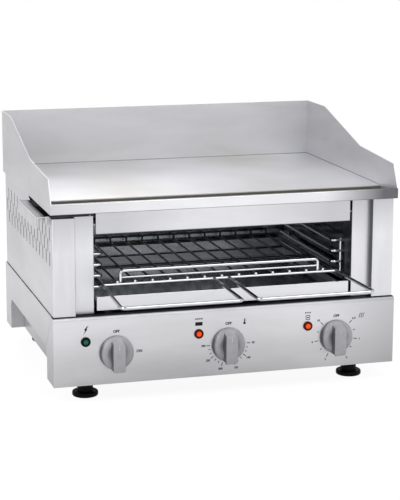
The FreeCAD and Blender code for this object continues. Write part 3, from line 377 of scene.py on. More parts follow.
@dataclass(frozen=True)
class SearedPlate(Finish):
    """Ground mild-steel cooking plate: cross-hatched polish with a faint straw bloom from heat."""

    metallic: float = 1.0
    strokes: Triple = (6.0, 300.0, 6.0)
    turns: tuple[float, float] = (2.0, -9.0)
    bloom: str = "C6C3BC"
    # Colour of the front edge: painted shade and reflection of the gutter.
    scale: str = "8E8B87"

    def dress(self, surface: Surface) -> None:
        """Adds two crossed scratch directions, broad heat clouds and a dark front edge as painted
        shade.

        Args:
            surface: The material.
        """
        tree, place = surface.tree, surface.place
        turned = [add_node(tree, "Mapping", {"Vector": place},
                           {"Scale": self.strokes, "Rotation": (0.0, 0.0, math.radians(turn))})
                  for turn in self.turns]
        hatch = [add_node(tree, "TexNoise", {"Vector": strokes.outputs[0]},
                          {"Scale": 3.0, "Detail": 5.0, "Roughness": 0.7}).outputs["Fac"]
                 for strokes in turned]
        crossed = add_node(tree, "Mix", {"A": hatch[0], "B": hatch[1]}, {"Factor": 0.5}).outputs[0]
        heat = add_node(tree, "TexNoise", {"Vector": place},
                        {"Scale": 5.0, "Detail": 2.0, "Roughness": 0.4})
        tone = add_node(tree, "ValToRGB", {"Fac": heat.outputs["Fac"]},
                        stops=((0.4, linear(self.colour)), (0.75, linear(self.bloom))))
        rough = add_node(tree, "MapRange", {"Value": crossed},
                         {"From Min": 0.3, "From Max": 0.7, "To Min": self.roughness - 0.05,
                          "To Max": self.roughness + 0.06})
        bump = add_node(tree, "Bump", {"Height": crossed}, {"Strength": 0.05, "Distance": 0.2 * MM})
        surface.feed({"Base Color": tone.outputs[0], "Roughness": rough.outputs[0],
                      "Normal": bump.outputs[0]})
        # The sawn front edge is darkened as painted shade and reflection of the dark gutter.
        surface.stain_and_shade(surface.facing("Y", -0.2, -0.7), self.scale)


@dataclass(frozen=True)
class PlatedWire(Finish):
    """Drawn wire with bright nickel-chrome plating: near mirror, with faint drawing lines."""

    metallic: float = 1.0

    def dress(self, surface: Surface) -> None:
        """Adds slight waviness to the plating.

        Args:
            surface: The material.
        """
        wave = add_node(surface.tree, "TexNoise", {"Vector": surface.place},
                        {"Scale": 160.0, "Detail": 2.0}).outputs["Fac"]
        rough = add_node(surface.tree, "MapRange", {"Value": wave},
                         {"To Min": self.roughness - 0.04, "To Max": self.roughness + 0.06})
        bump = add_node(surface.tree, "Bump", {"Height": wave},
                        {"Strength": 0.08, "Distance": 0.15 * MM})
        surface.feed({"Roughness": rough.outputs[0], "Normal": bump.outputs[0]})


@dataclass(frozen=True)
class CavityShadedWire(PlatedWire):
    """The same plating, darkened where the wire lies under the elements, as painted reflection of
    the dark cavity.
    """

    bright_to: float = -125 * MM
    change: float = 25 * MM
    cavity_shade: str = "4C4D50"

    def mark(self, surface: Surface) -> None:
        """Changes the plating from bright to dark, as painted reflection of the dark cavity.

        Args:
            surface: The material.
        """
        patches = add_node(surface.tree, "TexNoise", {"Vector": surface.place},
                           {"Scale": 25.0, "Detail": 2.0})
        surface.mottle(patches, self.colour, 0.9)
        # Painted reflection: the wire inside the cavity is darkened.
        surface.stain_and_shade(surface.between("Y", self.bright_to, self.bright_to + self.change),
                      self.cavity_shade)


@dataclass(frozen=True)
class Moulded(Finish):
    """Moulded plastic or rubber: spark-eroded grain of the tool and slightly uneven sheen."""

    grit_mm: float = 0.5
    height: float = 0.12
    shine: float = 0.5

    def dress(self, surface: Surface) -> None:
        """Adds the mould's grain to height and roughness.

        Args:
            surface: The material.
        """
        tree, place = surface.tree, surface.place
        surface.shader.inputs["Specular IOR Level"].default_value = self.shine
        # A grain is about a quarter of a cycle of the noise wide.
        grit = add_node(tree, "TexNoise", {"Vector": place},
                        {"Scale": 1000.0 / self.grit_mm / 4, "Detail": 3.0})
        sheen = add_node(tree, "TexNoise", {"Vector": place}, {"Scale": 35.0, "Detail": 2.0})
        rough = add_node(tree, "MapRange", {"Value": sheen.outputs["Fac"]},
                         {"To Min": self.roughness - 0.06, "To Max": self.roughness + 0.06})
        bump = add_node(tree, "Bump", {"Height": grit.outputs["Fac"]},
                        {"Strength": self.height, "Distance": 0.1 * MM})
        surface.feed({"Roughness": rough.outputs[0], "Normal": bump.outputs[0]})


@dataclass(frozen=True)
class KnobMoulding(Moulded):
    """The knob's moulding, with painted shade on the walls that face left."""

    left_wall_shade: str = "47474A"

    def mark(self, surface: Surface) -> None:
        """Adds a faint mottle and the painted shade.

        Args:
            surface: The material.
        """
        patches = add_node(surface.tree, "TexNoise", {"Vector": surface.place},
                           {"Scale": 90.0, "Detail": 3.0})
        surface.mottle(patches, self.colour, 0.9)
        # Painted shade on the walls that face left.
        surface.stain_and_shade(surface.facing("X", -0.55, -0.9), self.left_wall_shade)


@dataclass(frozen=True)
class LampBody(Moulded):
    """Lamp moulding: black, and dark red where it carries an amber lens."""

    red_from: float = -100 * MM
    red: str = "3C0D07"

    def mark(self, surface: Surface) -> None:
        """Adds the change of colour.

        Args:
            surface: The material.
        """
        patches = add_node(surface.tree, "TexNoise", {"Vector": surface.place}, {"Scale": 120.0})
        surface.mottle(patches, self.colour, 0.8)
        surface.stain_and_shade(surface.between("X", self.red_from, self.red_from + MM), self.red)


@dataclass(frozen=True)
class TintedLens(Finish):
    """Polycarbonate lamp lens: tinted through, with a moulded diffusing grid inside."""

    glow: float = 0.15
    rim: str = "000000"
    shine: float = 0.2

    def dress(self, surface: Surface) -> None:
        """Adds the lens's grid and a little light from inside, which on an unlit lens is painted
        light.

        Args:
            surface: The material.
        """
        grid = add_node(surface.tree, "TexVoronoi", {"Vector": surface.place}, {"Scale": 700.0})
        shade = add_node(surface.tree, "ValToRGB", {"Fac": grid.outputs["Distance"]},
                         stops=((0.0, linear(self.colour)), (0.7, linear(self.colour, 0.55))))
        surface.feed({"Base Color": shade.outputs[0]})
        # The rounded rim is thicker, so it looks darker than the middle.
        surface.stain_and_shade(surface.facing("Y", -0.99, -0.8), self.rim)
        inputs = surface.shader.inputs
        surface.feed({"Emission Color": inputs["Base Color"].links[0].from_socket})
        inputs["Emission Strength"].default_value = self.glow
        inputs["Specular IOR Level"].default_value = self.shine


@dataclass(frozen=True)
class Fibrous(Finish):
    """Pressed ceramic fibre: soft, matt and matted."""

    def dress(self, surface: Surface) -> None:
        """Adds matted fibres to tone and height.

        Args:
            surface: The material.
        """
        fibres = add_node(surface.tree, "TexNoise", {"Vector": surface.place},
                          {"Scale": 240.0, "Detail": 8.0, "Roughness": 0.75})
        surface.mottle(fibres, self.colour, 0.75)
        bump = add_node(surface.tree, "Bump", {"Height": fibres.outputs["Fac"]},
                        {"Strength": 0.5, "Distance": 0.5 * MM})
        surface.feed({"Normal": bump.outputs[0]})


# Stainless sheet with a ground grain that runs along each wall: soft pale reflections.
WALL_STEEL = BrushedSteel("stainless_ground_along_walls", "D2D2D5", 0.34)
# The same sheet lying flat, so that its grain runs from side to side.
FLAT_STEEL = BrushedSteel("stainless_ground_flat", "D2D2D5", 0.34, grain=Grain.ALONG_FLAT)
# The deck under the crumb tray, painted dark as the shade under the tray.
DECK_STEEL = BrushedSteel("deck_painted_shade", "2E2C2B", 0.4, grain=Grain.ALONG_FLAT)
# The same sheet as a grease drawer, painted black inside as the shade under the guard.
DRAWER_STEEL = DrawerSteel("stainless_grease_drawer", "D2D2D5", 0.34, grain=Grain.ALONG_FLAT)
# The same sheet folded into upright posts, with its grain along them, darker towards their tops and
# black on their tops, all painted shade under the tray.
POST_STEEL = BrushedSteel("stainless_ground_upright", "D2D2D5", 0.36, grain=Grain.ALONG_POSTS,
                          shade_zones=(("Z", 0.26, 0.325, "AEAEB2"),), shaded_faces=(("Z", 1.0, "08080A"),))
# The right post, also darkened as painted reflection where it faces into the mouth.
MOUTH_POST_STEEL = replace(POST_STEEL, name="stainless_mouth_post",
                           shaded_faces=(("Z", 1.0, "08080A"), ("X", -1.0, "54565B")))
# The same sheet as a gutter, darkened inside as painted shade, and towards both ends of the fascia
# as painted reflection.
GUTTER_STEEL = GutterSteel("stainless_gutter", "D6D6D9", 0.34, rim=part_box("front_gutter")[1][2],
                           shade_zones=(("X", 0.18, 0.29, "5E5E62"), ("X", -0.16, -0.3, "B8B8BB")))
# The same sheet as the hood, darker towards both ends as painted shade.
HOOD_STEEL = BrushedSteel("stainless_hood", "CECED1", 0.34,
                          shade_zones=(("X", 0.06, 0.2, "B0B0B3"), ("X", -0.06, -0.18, "B4B4B7")))
# The same sheet as the splash guard, ground coarser.
GUARD_STEEL = BrushedSteel("stainless_ground_coarse", "D8D8DB", 0.5)
# The same sheet as the control panel, darkened as painted shade on its flat top and towards its
# right end.
PANEL_STEEL = PanelSteel("stainless_panel", "D2D2D5", 0.34, shade_zones=(("X", 0.2, 0.31, "AEAEB1"),))
# The same sheet as the crumb tray, worn smooth inside.
CRUMB_STEEL = CrumbSteel("stainless_crumb_tray", "D2D2D5", 0.34)
# Mill-finish liner sheet: duller and more reflective of its dark surroundings.
LINER_STEEL = BrushedSteel("mill_finish_liner", "8E9297", 0.13, scratch=0.03, cloud=0.12)
# The side liners: the same sheet, painted black as shade on the side seen through the vent slots.
LEFT_LINER_STEEL = replace(LINER_STEEL, name="left_liner_sheet", shaded_faces=(("X", -1.0, "0E0E10"),))
RIGHT_LINER_STEEL = replace(LINER_STEEL, name="right_liner_sheet", shaded_faces=(("X", 1.0, "0E0E10"),))
# The liner behind the rack: the same sheet, wiped brighter in patches.
BACK_LINER_STEEL = BrushedSteel("mill_finish_back_liner", "F2F4F8", 0.22, scratch=0.03, cloud=0.25)
# The ceiling over the rack, blackened by the elements.
SOOTED_STEEL = BrushedSteel("heat_blackened_sheet", "66676B", 0.45, cloud=0.2)
# Ground steel griddle plate, polished across.
PLATE_STEEL = SearedPlate("ground_steel_plate", "DCDCE0", 0.42)
# Weld bead, brushed after welding and left a little darker.
WELD = BrushedSteel("brushed_weld", "8C8C8E", 0.45, grain=Grain.EVEN)
# Nickel-chrome plated wire.
CHROME_WIRE = PlatedWire("plated_wire", "C8CACE", 0.12)
# The same wire under the elements, darkened as painted reflection of the dark cavity.
CAVITY_SHADED_WIRE = CavityShadedWire("plated_wire_cavity_shade", "C8CACE", 0.12)
# Zinc-plated small steel parts: brighter and slightly cloudy.
ZINC = PlatedWire("zinc_plated_steel", "B5B6B2", 0.38)
# Nickel-alloy element sheath, darkened by heat.
SHEATH = BrushedSteel("heat_stained_sheath", "4A4743", 0.5, grain=Grain.EVEN, cloud=0.2)
# Thermoset knob moulding with a fine eroded grain.
KNOB = KnobMoulding("grey_thermoset_knob", "9A9A9E", 0.32, grit_mm=0.6)
# Black glass-filled nylon, deep and dull: feet, gland and controls.
NYLON = Moulded("black_nylon", "050506", 0.45, grit_mm=0.7, height=0.1, shine=0.12)
# The lamps' bodies, of the same nylon.
LAMP_BODY = LampBody("lamp_body_nylon", "050506", 0.45, grit_mm=0.7, height=0.1, shine=0.12)
# Silicone sleeving on the leads.
SLEEVE = Moulded("silicone_sleeve", "3B332E", 0.6, grit_mm=1.0)
# Unglazed steatite insulators.
STEATITE = Moulded("unglazed_steatite", "D9D3C4", 0.7, grit_mm=0.8, height=0.2)
# Drawn copper capillary and bulb.
COPPER = PlatedWire("drawn_copper", "B8764F", 0.3)
# Ceramic-fibre blanket.
BLANKET = Fibrous("ceramic_fibre_blanket", "DAD7CF", 0.95)
# Screen-printed epoxy ink: matt and slightly raised.
INK = Moulded("screen_print_ink", "101114", 0.65, grit_mm=0.4, height=0.05, shine=0.2)
# Paint in the knob's pointer groove.
POINTER = Moulded("pale_groove_paint", "B4B4B8", 0.5, grit_mm=0.4, height=0.05)
# Lamp lenses: the amber ones glowing; the power lamp's unlit, so its faint glow is painted light.
GREEN_LENS = TintedLens("green_polycarbonate_lens", "056A52", 0.3, glow=0.12, rim="011711")
AMBER_LENS = TintedLens("amber_polycarbonate_lens", "F05008", 0.3, glow=0.6, rim="A82404")

NODE_FINISHES: dict[Finish, tuple[str, ...]] = {
    GUTTER_STEEL: ("front_gutter",),
    HOOD_STEEL: ("hood_panel",),
    WALL_STEEL: ("side_panel_left", "side_panel_right", "rear_panel",
                 "base_side_left", "base_side_right", "base_rear_panel", "drain_spout",
                 "control_housing"),
    GUARD_STEEL: ("splash_guard",),
    PANEL_STEEL: ("base_front_panel",),
    CRUMB_STEEL: ("crumb_tray",),
    FLAT_STEEL: ("foot_plates",),
    DRAWER_STEEL: ("grease_drawer",),
    DECK_STEEL: ("base_deck",),
    POST_STEEL: ("pillar_left",),
    MOUTH_POST_STEEL: ("pillar_right",),
    LINER_STEEL: ("drawer_slides", "crumb_tray_slides", "element_hangers", "element_clamps",
                  "clamp_posts"),
    LEFT_LINER_STEEL: ("liner_left",),
    RIGHT_LINER_STEEL: ("liner_right",),
    BACK_LINER_STEEL: ("liner_back",),
    SOOTED_STEEL: ("cavity_ceiling",),
    PLATE_STEEL: ("griddle_plate",),
    CHROME_WIRE: ("rack_runner_left", "rack_runner_right", "rack_rail"),
    CAVITY_SHADED_WIRE: ("rack_frame", "rack_slats", "rack_fence"),
    ZINC: ("hood_pins", "cover_screws", "foot_bolts", "power_spindle", "griddle_spindle",
           "toaster_spindle"),
    SHEATH: ("griddle_elements", "toasting_elements"),
    STEATITE: ("element_terminals", "terminal_block"),
    BLANKET: ("insulation_blanket",),
    COPPER: ("thermostat_bulb",),
    KNOB: ("power_knob", "griddle_knob", "toaster_knob"),
    NYLON: ("foot_pads", "cable_gland", "gland_nut", "power_switch", "thermostat",
            "energy_regulator"),
    LAMP_BODY: ("lamp_bodies",),
    SLEEVE: ("wiring_leads",),
    GREEN_LENS: ("power_lamp_lens",),
    AMBER_LENS: ("griddle_lamp_lens", "toaster_lamp_lens"),
}


def dress_nodes() -> None:
    """Gives every CAD node its finish through its material slots."""
    for finish, names in NODE_FINISHES.items():
        for name in names:
            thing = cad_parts[name]
            thing.data.materials.clear()
            thing.data.materials.append(finish.material())


def add_object(name: str, data: bpy.types.ID) -> bpy.types.Object:
    """Puts an object into the scene.

    Args:
        name: Object name.
        data: Its mesh, curve, lamp or camera.

    Returns:
        The new object.
    """
    thing = bpy.data.objects.new(name, data)
    bpy.context.scene.collection.objects.link(thing)
    return thing


def make_piece(name: str, mesh: Mesh, finishes: Sequence[Finish], body: str,
               replaces: Sequence[str] = (), smooth: float = 35.0) -> None:
    """Turns a bmesh into a finished piece that rides on a body.

    Args:
        name: Piece name.
        mesh: The shape, in metres in the frame.
        finishes: Materials, in the order of the faces' material indices.
        body: Body that the piece rides on.
        replaces: CAD nodes that the piece stands for.
        smooth: Angle in degrees below which edges are shaded smooth.
    """
    data = bpy.data.meshes.new(name)
    mesh.to_mesh(data)
    mesh.free()
    thing = add_object(name, data)
    for finish in finishes:
        data.materials.append(finish.material())
    data.polygons.foreach_set("use_smooth", [True] * len(data.polygons))
    data.set_sharp_from_angle(angle=math.radians(smooth))
    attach(thing, body)
    if replaces:
        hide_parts(*replaces)


def joined(parts: Iterable[Mesh]) -> Mesh:
    """Gathers several bmeshes into one.

    Args:
        parts: The bmeshes, which are freed.

    Returns:
        The whole.
    """
    whole = bmesh.new()
    for part in parts:
        carrier = bpy.data.meshes.new("carrier")
        part.to_mesh(carrier)
        part.free()
        whole.from_mesh(carrier)
        bpy.data.meshes.remove(carrier)
    return whole


def block(placing: Matrix) -> Mesh:
    """Makes a block.

    Args:
        placing: Matrix that scales and places a unit cube.

    Returns:
        The mesh.
    """
    shape = bmesh.new()
    bmesh.ops.create_cube(shape, size=1.0)
    bmesh.ops.transform(shape, matrix=placing, verts=shape.verts)
    return shape


def slab(corners: Outline, placing: Matrix, thickness: float) -> Mesh:
    """Makes a thin plate with a polygonal outline.

    Args:
        corners: Outline in mm, anticlockwise.
        placing: Matrix that stands it on the panel.
        thickness: Its thickness in metres.

    Returns:
        The mesh.
    """
    shape = bmesh.new()
    face = shape.faces.new([shape.verts.new((x * MM, y * MM, 0.0)) for x, y in corners])
    made = bmesh.ops.extrude_face_region(shape, geom=[face])
    risen = [v for v in made["geom"] if isinstance(v, bmesh.types.BMVert)]
    bmesh.ops.translate(shape, vec=(0.0, 0.0, thickness), verts=risen)
    bmesh.ops.recalc_face_normals(shape, faces=shape.faces)
    bmesh.ops.transform(shape, matrix=placing, verts=shape.verts)
    return shape


def rectangle(x: float, z: float, width: float, height: float) -> Outline:
    """Lists the corners of a rectangle anticlockwise."""
    return [(x, z), (x + width, z), (x + width, z + height), (x, z + height)]


@dataclass(frozen=True)
class Sign:
    """A small picture printed beside a dial, in mm from the dial's centre."""

    x: float
    z: float
    outlines: Sequence[Outline]


@dataclass
class PrintedDial:
    """Marks printed round one control: words, numbers, ticks and picture signs.

    A word has its text, its place to the right of and above the centre and its letter size, and
    a tick its angle clockwise from the top and its inner and outer radius, all in mm and degrees.
    """

    name: str
    centre: Vector
    words: list[tuple[str, float, float, float]]
    ticks: list[Triple]
    signs: list[Sign]
    thickness: float = 0.06 * MM
    tick_width: float = 1.3 * MM
    letter_weight: float = 0.045

    def place(self, x: float, z: float) -> Matrix:
        """Stands flat artwork up at a spot in mm from the dial's centre."""
        return Matrix.Translation(self.centre + Vector((x * MM, 0.0, z * MM))) @ UPRIGHT

    def lettering(self, text: str, x: float, z: float, height: float) -> Mesh:
        """Makes one word or number as a thin mesh.

        Args:
            text: The word or number.
            x: Distance to the right of the dial's centre in mm.
            z: Distance above it in mm.
            height: Letter size in mm.

        Returns:
            The mesh, standing on the panel.
        """
        curve = bpy.data.curves.new("lettering", "FONT")
        curve.body = text
        curve.size = height * MM
        curve.align_x = "CENTER"
        curve.align_y = "CENTER"
        curve.extrude = self.thickness / 2
        curve.offset = self.letter_weight * height * MM
        holder = add_object("lettering", curve)
        bpy.context.view_layer.update()
        flat = bpy.data.meshes.new_from_object(holder)
        shape = bmesh.new()
        shape.from_mesh(flat)
        bpy.data.objects.remove(holder)
        bpy.data.curves.remove(curve)
        bpy.data.meshes.remove(flat)
        bmesh.ops.transform(shape, matrix=self.place(x, z), verts=shape.verts)
        return shape

    def tick(self, angle: float, inner: float, outer: float) -> Mesh:
        """Makes one radial tick.

        Args:
            angle: Angle in degrees, clockwise from the top.
            inner: Inner radius in mm.
            outer: Outer radius in mm.

        Returns:
            The mesh, standing on the panel.
        """
        turn = Matrix.Rotation(math.radians(-angle), 4, "Z")
        shift = Matrix.Translation((0.0, (inner + outer) / 2 * MM, 0.0))
        scale = Matrix.Diagonal((self.tick_width, (outer - inner) * MM, self.thickness, 1.0))
        return block(self.place(0, 0) @ turn @ shift @ scale)

    def build(self) -> None:
        """Gathers all the marks into one piece."""
        parts = [self.lettering(*word) for word in self.words]
        parts += [self.tick(*tick) for tick in self.ticks]
        parts += [slab(outline, self.place(sign.x, sign.z), self.thickness)
                  for sign in self.signs for outline in sign.outlines]
        make_piece(self.name, joined(parts), [INK], "machine", smooth=20)


@dataclass
class Knob:
    """One knob: stepped skirt, dished face, tapered grip and its pointer groove.

    The skirt's profile has distances in from its rim and heights over the panel, in mm.
    """

    name: str
    centre: Vector
    profile: Stops = (
        (0.4, 0.0), (0.0, 0.6), (0.0, 2.6), (0.6, 4.6), (1.6, 7.0), (3.4, 9.0), (6.0, 10.2),
        (10.0, 10.8), (14.0, 10.0), (17.5, 7.4))
    hub_height: float = 7 * MM
    turns: int = 72
    grip_half: float = 11.5 * MM
    grip_taper: float = 0.94
    grip_top: float = 20 * MM
    grip_sunk_top: float = 26 * MM
    grip_rim_gap: float = 0.1 * MM
    grip_seat: float = 5 * MM
    side_round: float = 4.5 * MM
    tip_round: float = 1.6 * MM
    groove_drop: float = 6.2 * MM
    groove: Triple = (1.2 * MM, 8 * MM, 0.24 * MM)
    tiny: float = 0.01 * MM

    def skirt(self, radius: float) -> Mesh:
        """Turns the skirt with its dished face.

        Args:
            radius: Radius of its rim.

        Returns:
            The mesh, with its axis along Z.
        """
        shape = bmesh.new()
        profile = [(0.0, 0.0), *((radius - inset * MM, height * MM)
                                 for inset, height in self.profile), (0.0, self.hub_height)]
        path = [shape.verts.new((reach, 0.0, height)) for reach, height in profile]
        edges = [shape.edges.new(pair) for pair in zip(path, path[1:])]
        bmesh.ops.spin(shape, geom=path + edges, cent=(0, 0, 0), axis=(0, 0, 1),
                       angle=math.tau, steps=self.turns, use_merge=True)
        bmesh.ops.remove_doubles(shape, verts=shape.verts, dist=self.tiny)
        bmesh.ops.recalc_face_normals(shape, faces=shape.faces)
        return shape

    def grip(self, radius: float, depth: float) -> Mesh:
        """Shapes the grip: a tapered bar, rounded along its sides and round its tip.

        Args:
            radius: Radius of the skirt's rim.
            depth: Height of the knob over the panel.

        Returns:
            The mesh, with the knob's axis along Z.
        """
        shape = block(Matrix.Identity(4))
        for v in shape.verts:
            front = v.co.z > 0
            half = self.grip_half * (self.grip_taper if front else 1.0)
            top = self.grip_top if front else self.grip_sunk_top
            v.co = Vector((math.copysign(half, v.co.x),
                           self.grip_rim_gap - radius if v.co.y < 0 else top,
                           depth if front else self.grip_seat))
        sides = [e for e in shape.edges if abs(e.verts[0].co.z - e.verts[1].co.z) > depth / 3]
        self.round(shape, sides, self.side_round, 6)
        tip = [e for e in shape.edges if all(v.co.z > depth - self.tiny for v in e.verts)]
        self.round(shape, tip, self.tip_round, 4)
        bmesh.ops.recalc_face_normals(shape, faces=shape.faces)
        return shape

    @staticmethod
    def round(shape: Mesh, edges: list[bmesh.types.BMEdge], radius: float, steps: int) -> None:
        """Rounds some edges with so many faces across."""
        bmesh.ops.bevel(shape, geom=edges, offset=radius, segments=steps, profile=0.5,
                        affect="EDGES", material=-1)

    def build(self) -> None:
        """Gathers skirt, grip and groove into one piece that replaces the plain knob."""
        low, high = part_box(f"{self.name}_knob")
        depth = high[1] - low[1]
        radius = (high[0] - low[0]) / 2
        groove = block(Matrix.Translation((0.0, self.grip_top - self.groove_drop, depth))
                       @ Matrix.Diagonal((*self.groove, 1.0)))
        for face in groove.faces:
            face.material_index = 1
        whole = joined([self.skirt(radius), self.grip(radius, depth), groove])
        stand = Matrix.Translation((self.centre.x, high[1], self.centre.z)) @ UPRIGHT
        bmesh.ops.transform(whole, matrix=stand, verts=whole.verts)
        make_piece(f"{self.name}_knob_moulding", whole, [KNOB, POINTER], f"{self.name}_control",
                   [f"{self.name}_knob"])


@dataclass
class Controls:
    """The knobs and the printed dials on the control panel, with the dials' sizes in mm."""

    names: tuple[str, ...] = ("power", "griddle", "toaster")
    word_size: float = 6.4
    number_size: float = 5.0
    off_height: float = 37
    on_reach: float = 40
    number_radius: float = 45
    tick_start: float = 33
    lamp_reach: float = -53
    stroke: float = 1.2

    def centre(self, name: str) -> Vector:
        """Reads from the CAD where a knob's axis meets the panel."""
        (low, high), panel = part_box(f"{name}_knob"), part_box("base_front_panel")
        return Vector(((low[0] + high[0]) / 2, panel[0][1], (low[2] + high[2]) / 2))

    def off(self) -> tuple[str, float, float, float]:
        """Places the word OFF over a knob."""
        return ("OFF", 0, self.off_height, self.word_size)

    def graduated(self, name: str, centre: Vector, marks: Sequence[tuple[str, float]],
                  signs: list[Sign], outer: float, minor_angles: Sequence[float],
                  minor_outer: float) -> PrintedDial:
        """Lays out a dial with numbers, their ticks and smaller ticks between them.

        Args:
            name: Piece name.
            centre: Centre of the dial.
            marks: Texts with their angles, clockwise from the top.
            signs: Pictures beside the dial.
            outer: Outer radius of the marks' ticks.
            minor_angles: Angles past a mark of the smaller ticks.
            minor_outer: Outer radius of these.

        Returns:
            The dial, not built yet.
        """
        words, ticks = [self.off()], []
        for text, angle in marks:
            turn = math.radians(angle)
            words.append((text, self.number_radius * math.sin(turn),
                          self.number_radius * math.cos(turn), self.number_size))
            ticks.append((angle, self.tick_start, outer))
            if text != marks[-1][0]:
                ticks += [(angle + more, self.tick_start, minor_outer) for more in minor_angles]
        return PrintedDial(name, centre, words, ticks, signs)

    def flash(self) -> Sign:
        """Draws a lightning flash over the power lamp."""
        return Sign(self.lamp_reach, 43, [[(-0.6, -0.8), (-4.4, -9.0), (3.2, 1.3), (1.5, 1.6),
                                           (5.2, 8.0), (1.6, 5.4), (-2.6, 0.2)]])

    def thermometer(self, radius: float = 2.3) -> Sign:
        """Draws a thermometer beside the griddle's dial."""
        bulb = [(radius * math.cos(turn), radius * math.sin(turn))
                for turn in map(math.radians, range(0, 360, 20))]
        return Sign(29, 36, [bulb, rectangle(-0.9, 1.5, 1.8, 6.5),
                             *(rectangle(1.8, z, 1.6, 0.8) for z in (4.0, 6.5))])

    def heat(self) -> Sign:
        """Draws three rising strokes of heat beside the toaster's dial."""
        waves = [[(start + rise * 0.45 + math.sin(rise * math.pi / 3) * 0.7, rise * 1.2 - 4)
                  for rise in range(8)] for start in (-3.2, 0.0, 3.2)]
        return Sign(45, 35, [[(x + self.stroke, z) for x, z in wave] + wave[::-1]
                             for wave in waves])

    def plate(self) -> Sign:
        """Draws a solid plate under a broken line, over the griddle's lamp."""
        dashes = [rectangle(x, 7.6, 2.4, 2.4) for x in (-6.5, -3, 0.5, 4)]
        return Sign(self.lamp_reach, 40, [rectangle(-6.5, -3.2, 13, 6.4), *dashes])

    def bread(self) -> Sign:
        """Draws a slice of bread under a broken line, over the toaster's lamp."""
        sides = ((-4, -3.6, 8, 1.1), (-4, 3.6, 8, 1.1), (-4, -3.6, 1.1, 8.3), (2.9, -3.6, 1.1, 8.3),
                 (-5, 8, 2.2, 2.4), (-1.1, 8, 2.2, 2.4), (2.8, 8, 2.2, 2.4), (-1.6, -0.6, 3.2, 2.2))
        return Sign(self.lamp_reach, 37, [rectangle(*side) for side in sides])

    def build(self) -> None:
        """Builds the knobs and prints the dials."""
        centres = [self.centre(name) for name in self.names]
        for name, centre in zip(self.names, centres):
            Knob(name, centre).build()
        power, griddle, toaster = centres
        PrintedDial("power_dial_print", power,
                    [self.off(), ("ON", self.on_reach, 0, self.word_size)], [],
                    [self.flash()]).build()
        degrees = [(str(50 * step), 54 + 36 * step) for step in range(1, 7)]
        self.graduated("griddle_dial_print", griddle, degrees, [self.thermometer(), self.plate()],
                       outer=39.5, minor_angles=(12, 24), minor_outer=36.5).build()
        levels = list(zip(("LO", "1", "2", "3", "4", "HI"),
                          (47.0, 100.0, 152.6, 205.5, 260.0, 313.0)))
        self.graduated("toaster_dial_print", toaster, levels, [self.heat(), self.bread()],
                       outer=40, minor_angles=(26.6,), minor_outer=37).build()
        LOG.info("controls: three knobs and three printed dials")


@dataclass
class RackDetails:
    """Small resistance-weld upsets where the cross wires meet the rack's frame."""

    crossings: int = 13
    wire_radius: float = 2 * MM
    rail_radius: float = 3 * MM
    bar_reach: float = 5.75 * MM
    middle_bar_set: float = 134 * MM
    size: Triple = (2.5 * MM, 2.7 * MM, 1.3 * MM)

    def build(self) -> None:
        """Places one upset at each crossing of the front and middle bars."""
        low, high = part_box("rack_slats")
        frame_low, frame_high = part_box("rack_frame")
        bar_top = (frame_low[2] + frame_high[2]) / 2 + self.bar_reach / 2
        step = (high[0] - low[0] - 2 * self.wire_radius) / (self.crossings - 1)
        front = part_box("rack_rail")[0][1] + self.rail_radius - self.bar_reach
        parts = []
        for n in range(self.crossings):
            x = low[0] + self.wire_radius + n * step
            for y in (front, front + self.middle_bar_set):
                upset = bmesh.new()
                bmesh.ops.create_icosphere(upset, subdivisions=2, radius=1.0)
                placing = Matrix.Translation((x, y, bar_top)) @ Matrix.Diagonal((*self.size, 1.0))
                bmesh.ops.transform(upset, verts=upset.verts, matrix=placing)
                parts.append(upset)
        make_piece("rack_weld_upsets", joined(parts), [CHROME_WIRE], "toast_rack")
        LOG.info("rack: %d weld upsets", len(parts))


@dataclass
class PlateDetails:
    """Weld fillet between the griddle plate and the guard's walls."""

    leg: float = 1.1 * MM
    front_gap: float = 6 * MM
    steps: int = 4

    def build(self) -> None:
        """Runs a concave fillet round three sides of the plate."""
        low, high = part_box("griddle_plate")
        shape = bmesh.new()
        z, x0, x1, y0, y1 = high[2], low[0], high[0], low[1] + self.front_gap, high[1]
        route = [Vector((x0, y0, z)), Vector((x0, y1, z)), Vector((x1, y1, z)), Vector((x1, y0, z))]
        inward = [Vector((1, 0, 0)), Vector((1, -1, 0)), Vector((-1, -1, 0)), Vector((-1, 0, 0))]
        rings = []
        for spot, towards in zip(route, inward):
            ring = [shape.verts.new(spot), shape.verts.new(spot + towards * self.leg)]
            for n in range(1, self.steps):
                angle = math.radians(90 * n / self.steps)
                out = self.leg * (1 - math.sin(angle))
                up = self.leg * (1 - math.cos(angle))
                ring.append(shape.verts.new(spot + towards * out + Vector((0, 0, up))))
            ring.append(shape.verts.new(spot + Vector((0, 0, self.leg))))
            rings.append([shape.edges.new((ring[n], ring[(n + 1) % len(ring)]))
                          for n in range(len(ring))])
        for first, second in zip(rings, rings[1:]):
            bmesh.ops.bridge_loops(shape, edges=first + second)
        bmesh.ops.holes_fill(shape, edges=rings[0] + rings[-1])
        bmesh.ops.recalc_face_normals(shape, faces=shape.faces)
        make_piece("plate_weld_fillet", shape, [WELD], "machine")
        LOG.info("plate: weld fillet round three sides")


@dataclass(frozen=True)
class Lamp:
    """One soft area lamp: place, point it faces and size in metres, power in watts."""

    name: str
    place: Triple
    aim: Triple
    size: tuple[float, float]
    power: float

    def build(self) -> None:
        """Hangs the lamp."""
        data = bpy.data.lights.new(self.name, "AREA")
        data.shape = "RECTANGLE"
        data.size, data.size_y = self.size
        data.energy = self.power
        thing = add_object(self.name, data)
        thing.location = self.place
        towards = Vector(self.aim) - Vector(self.place)
        thing.rotation_euler = towards.to_track_quat("-Z", "Y").to_euler()


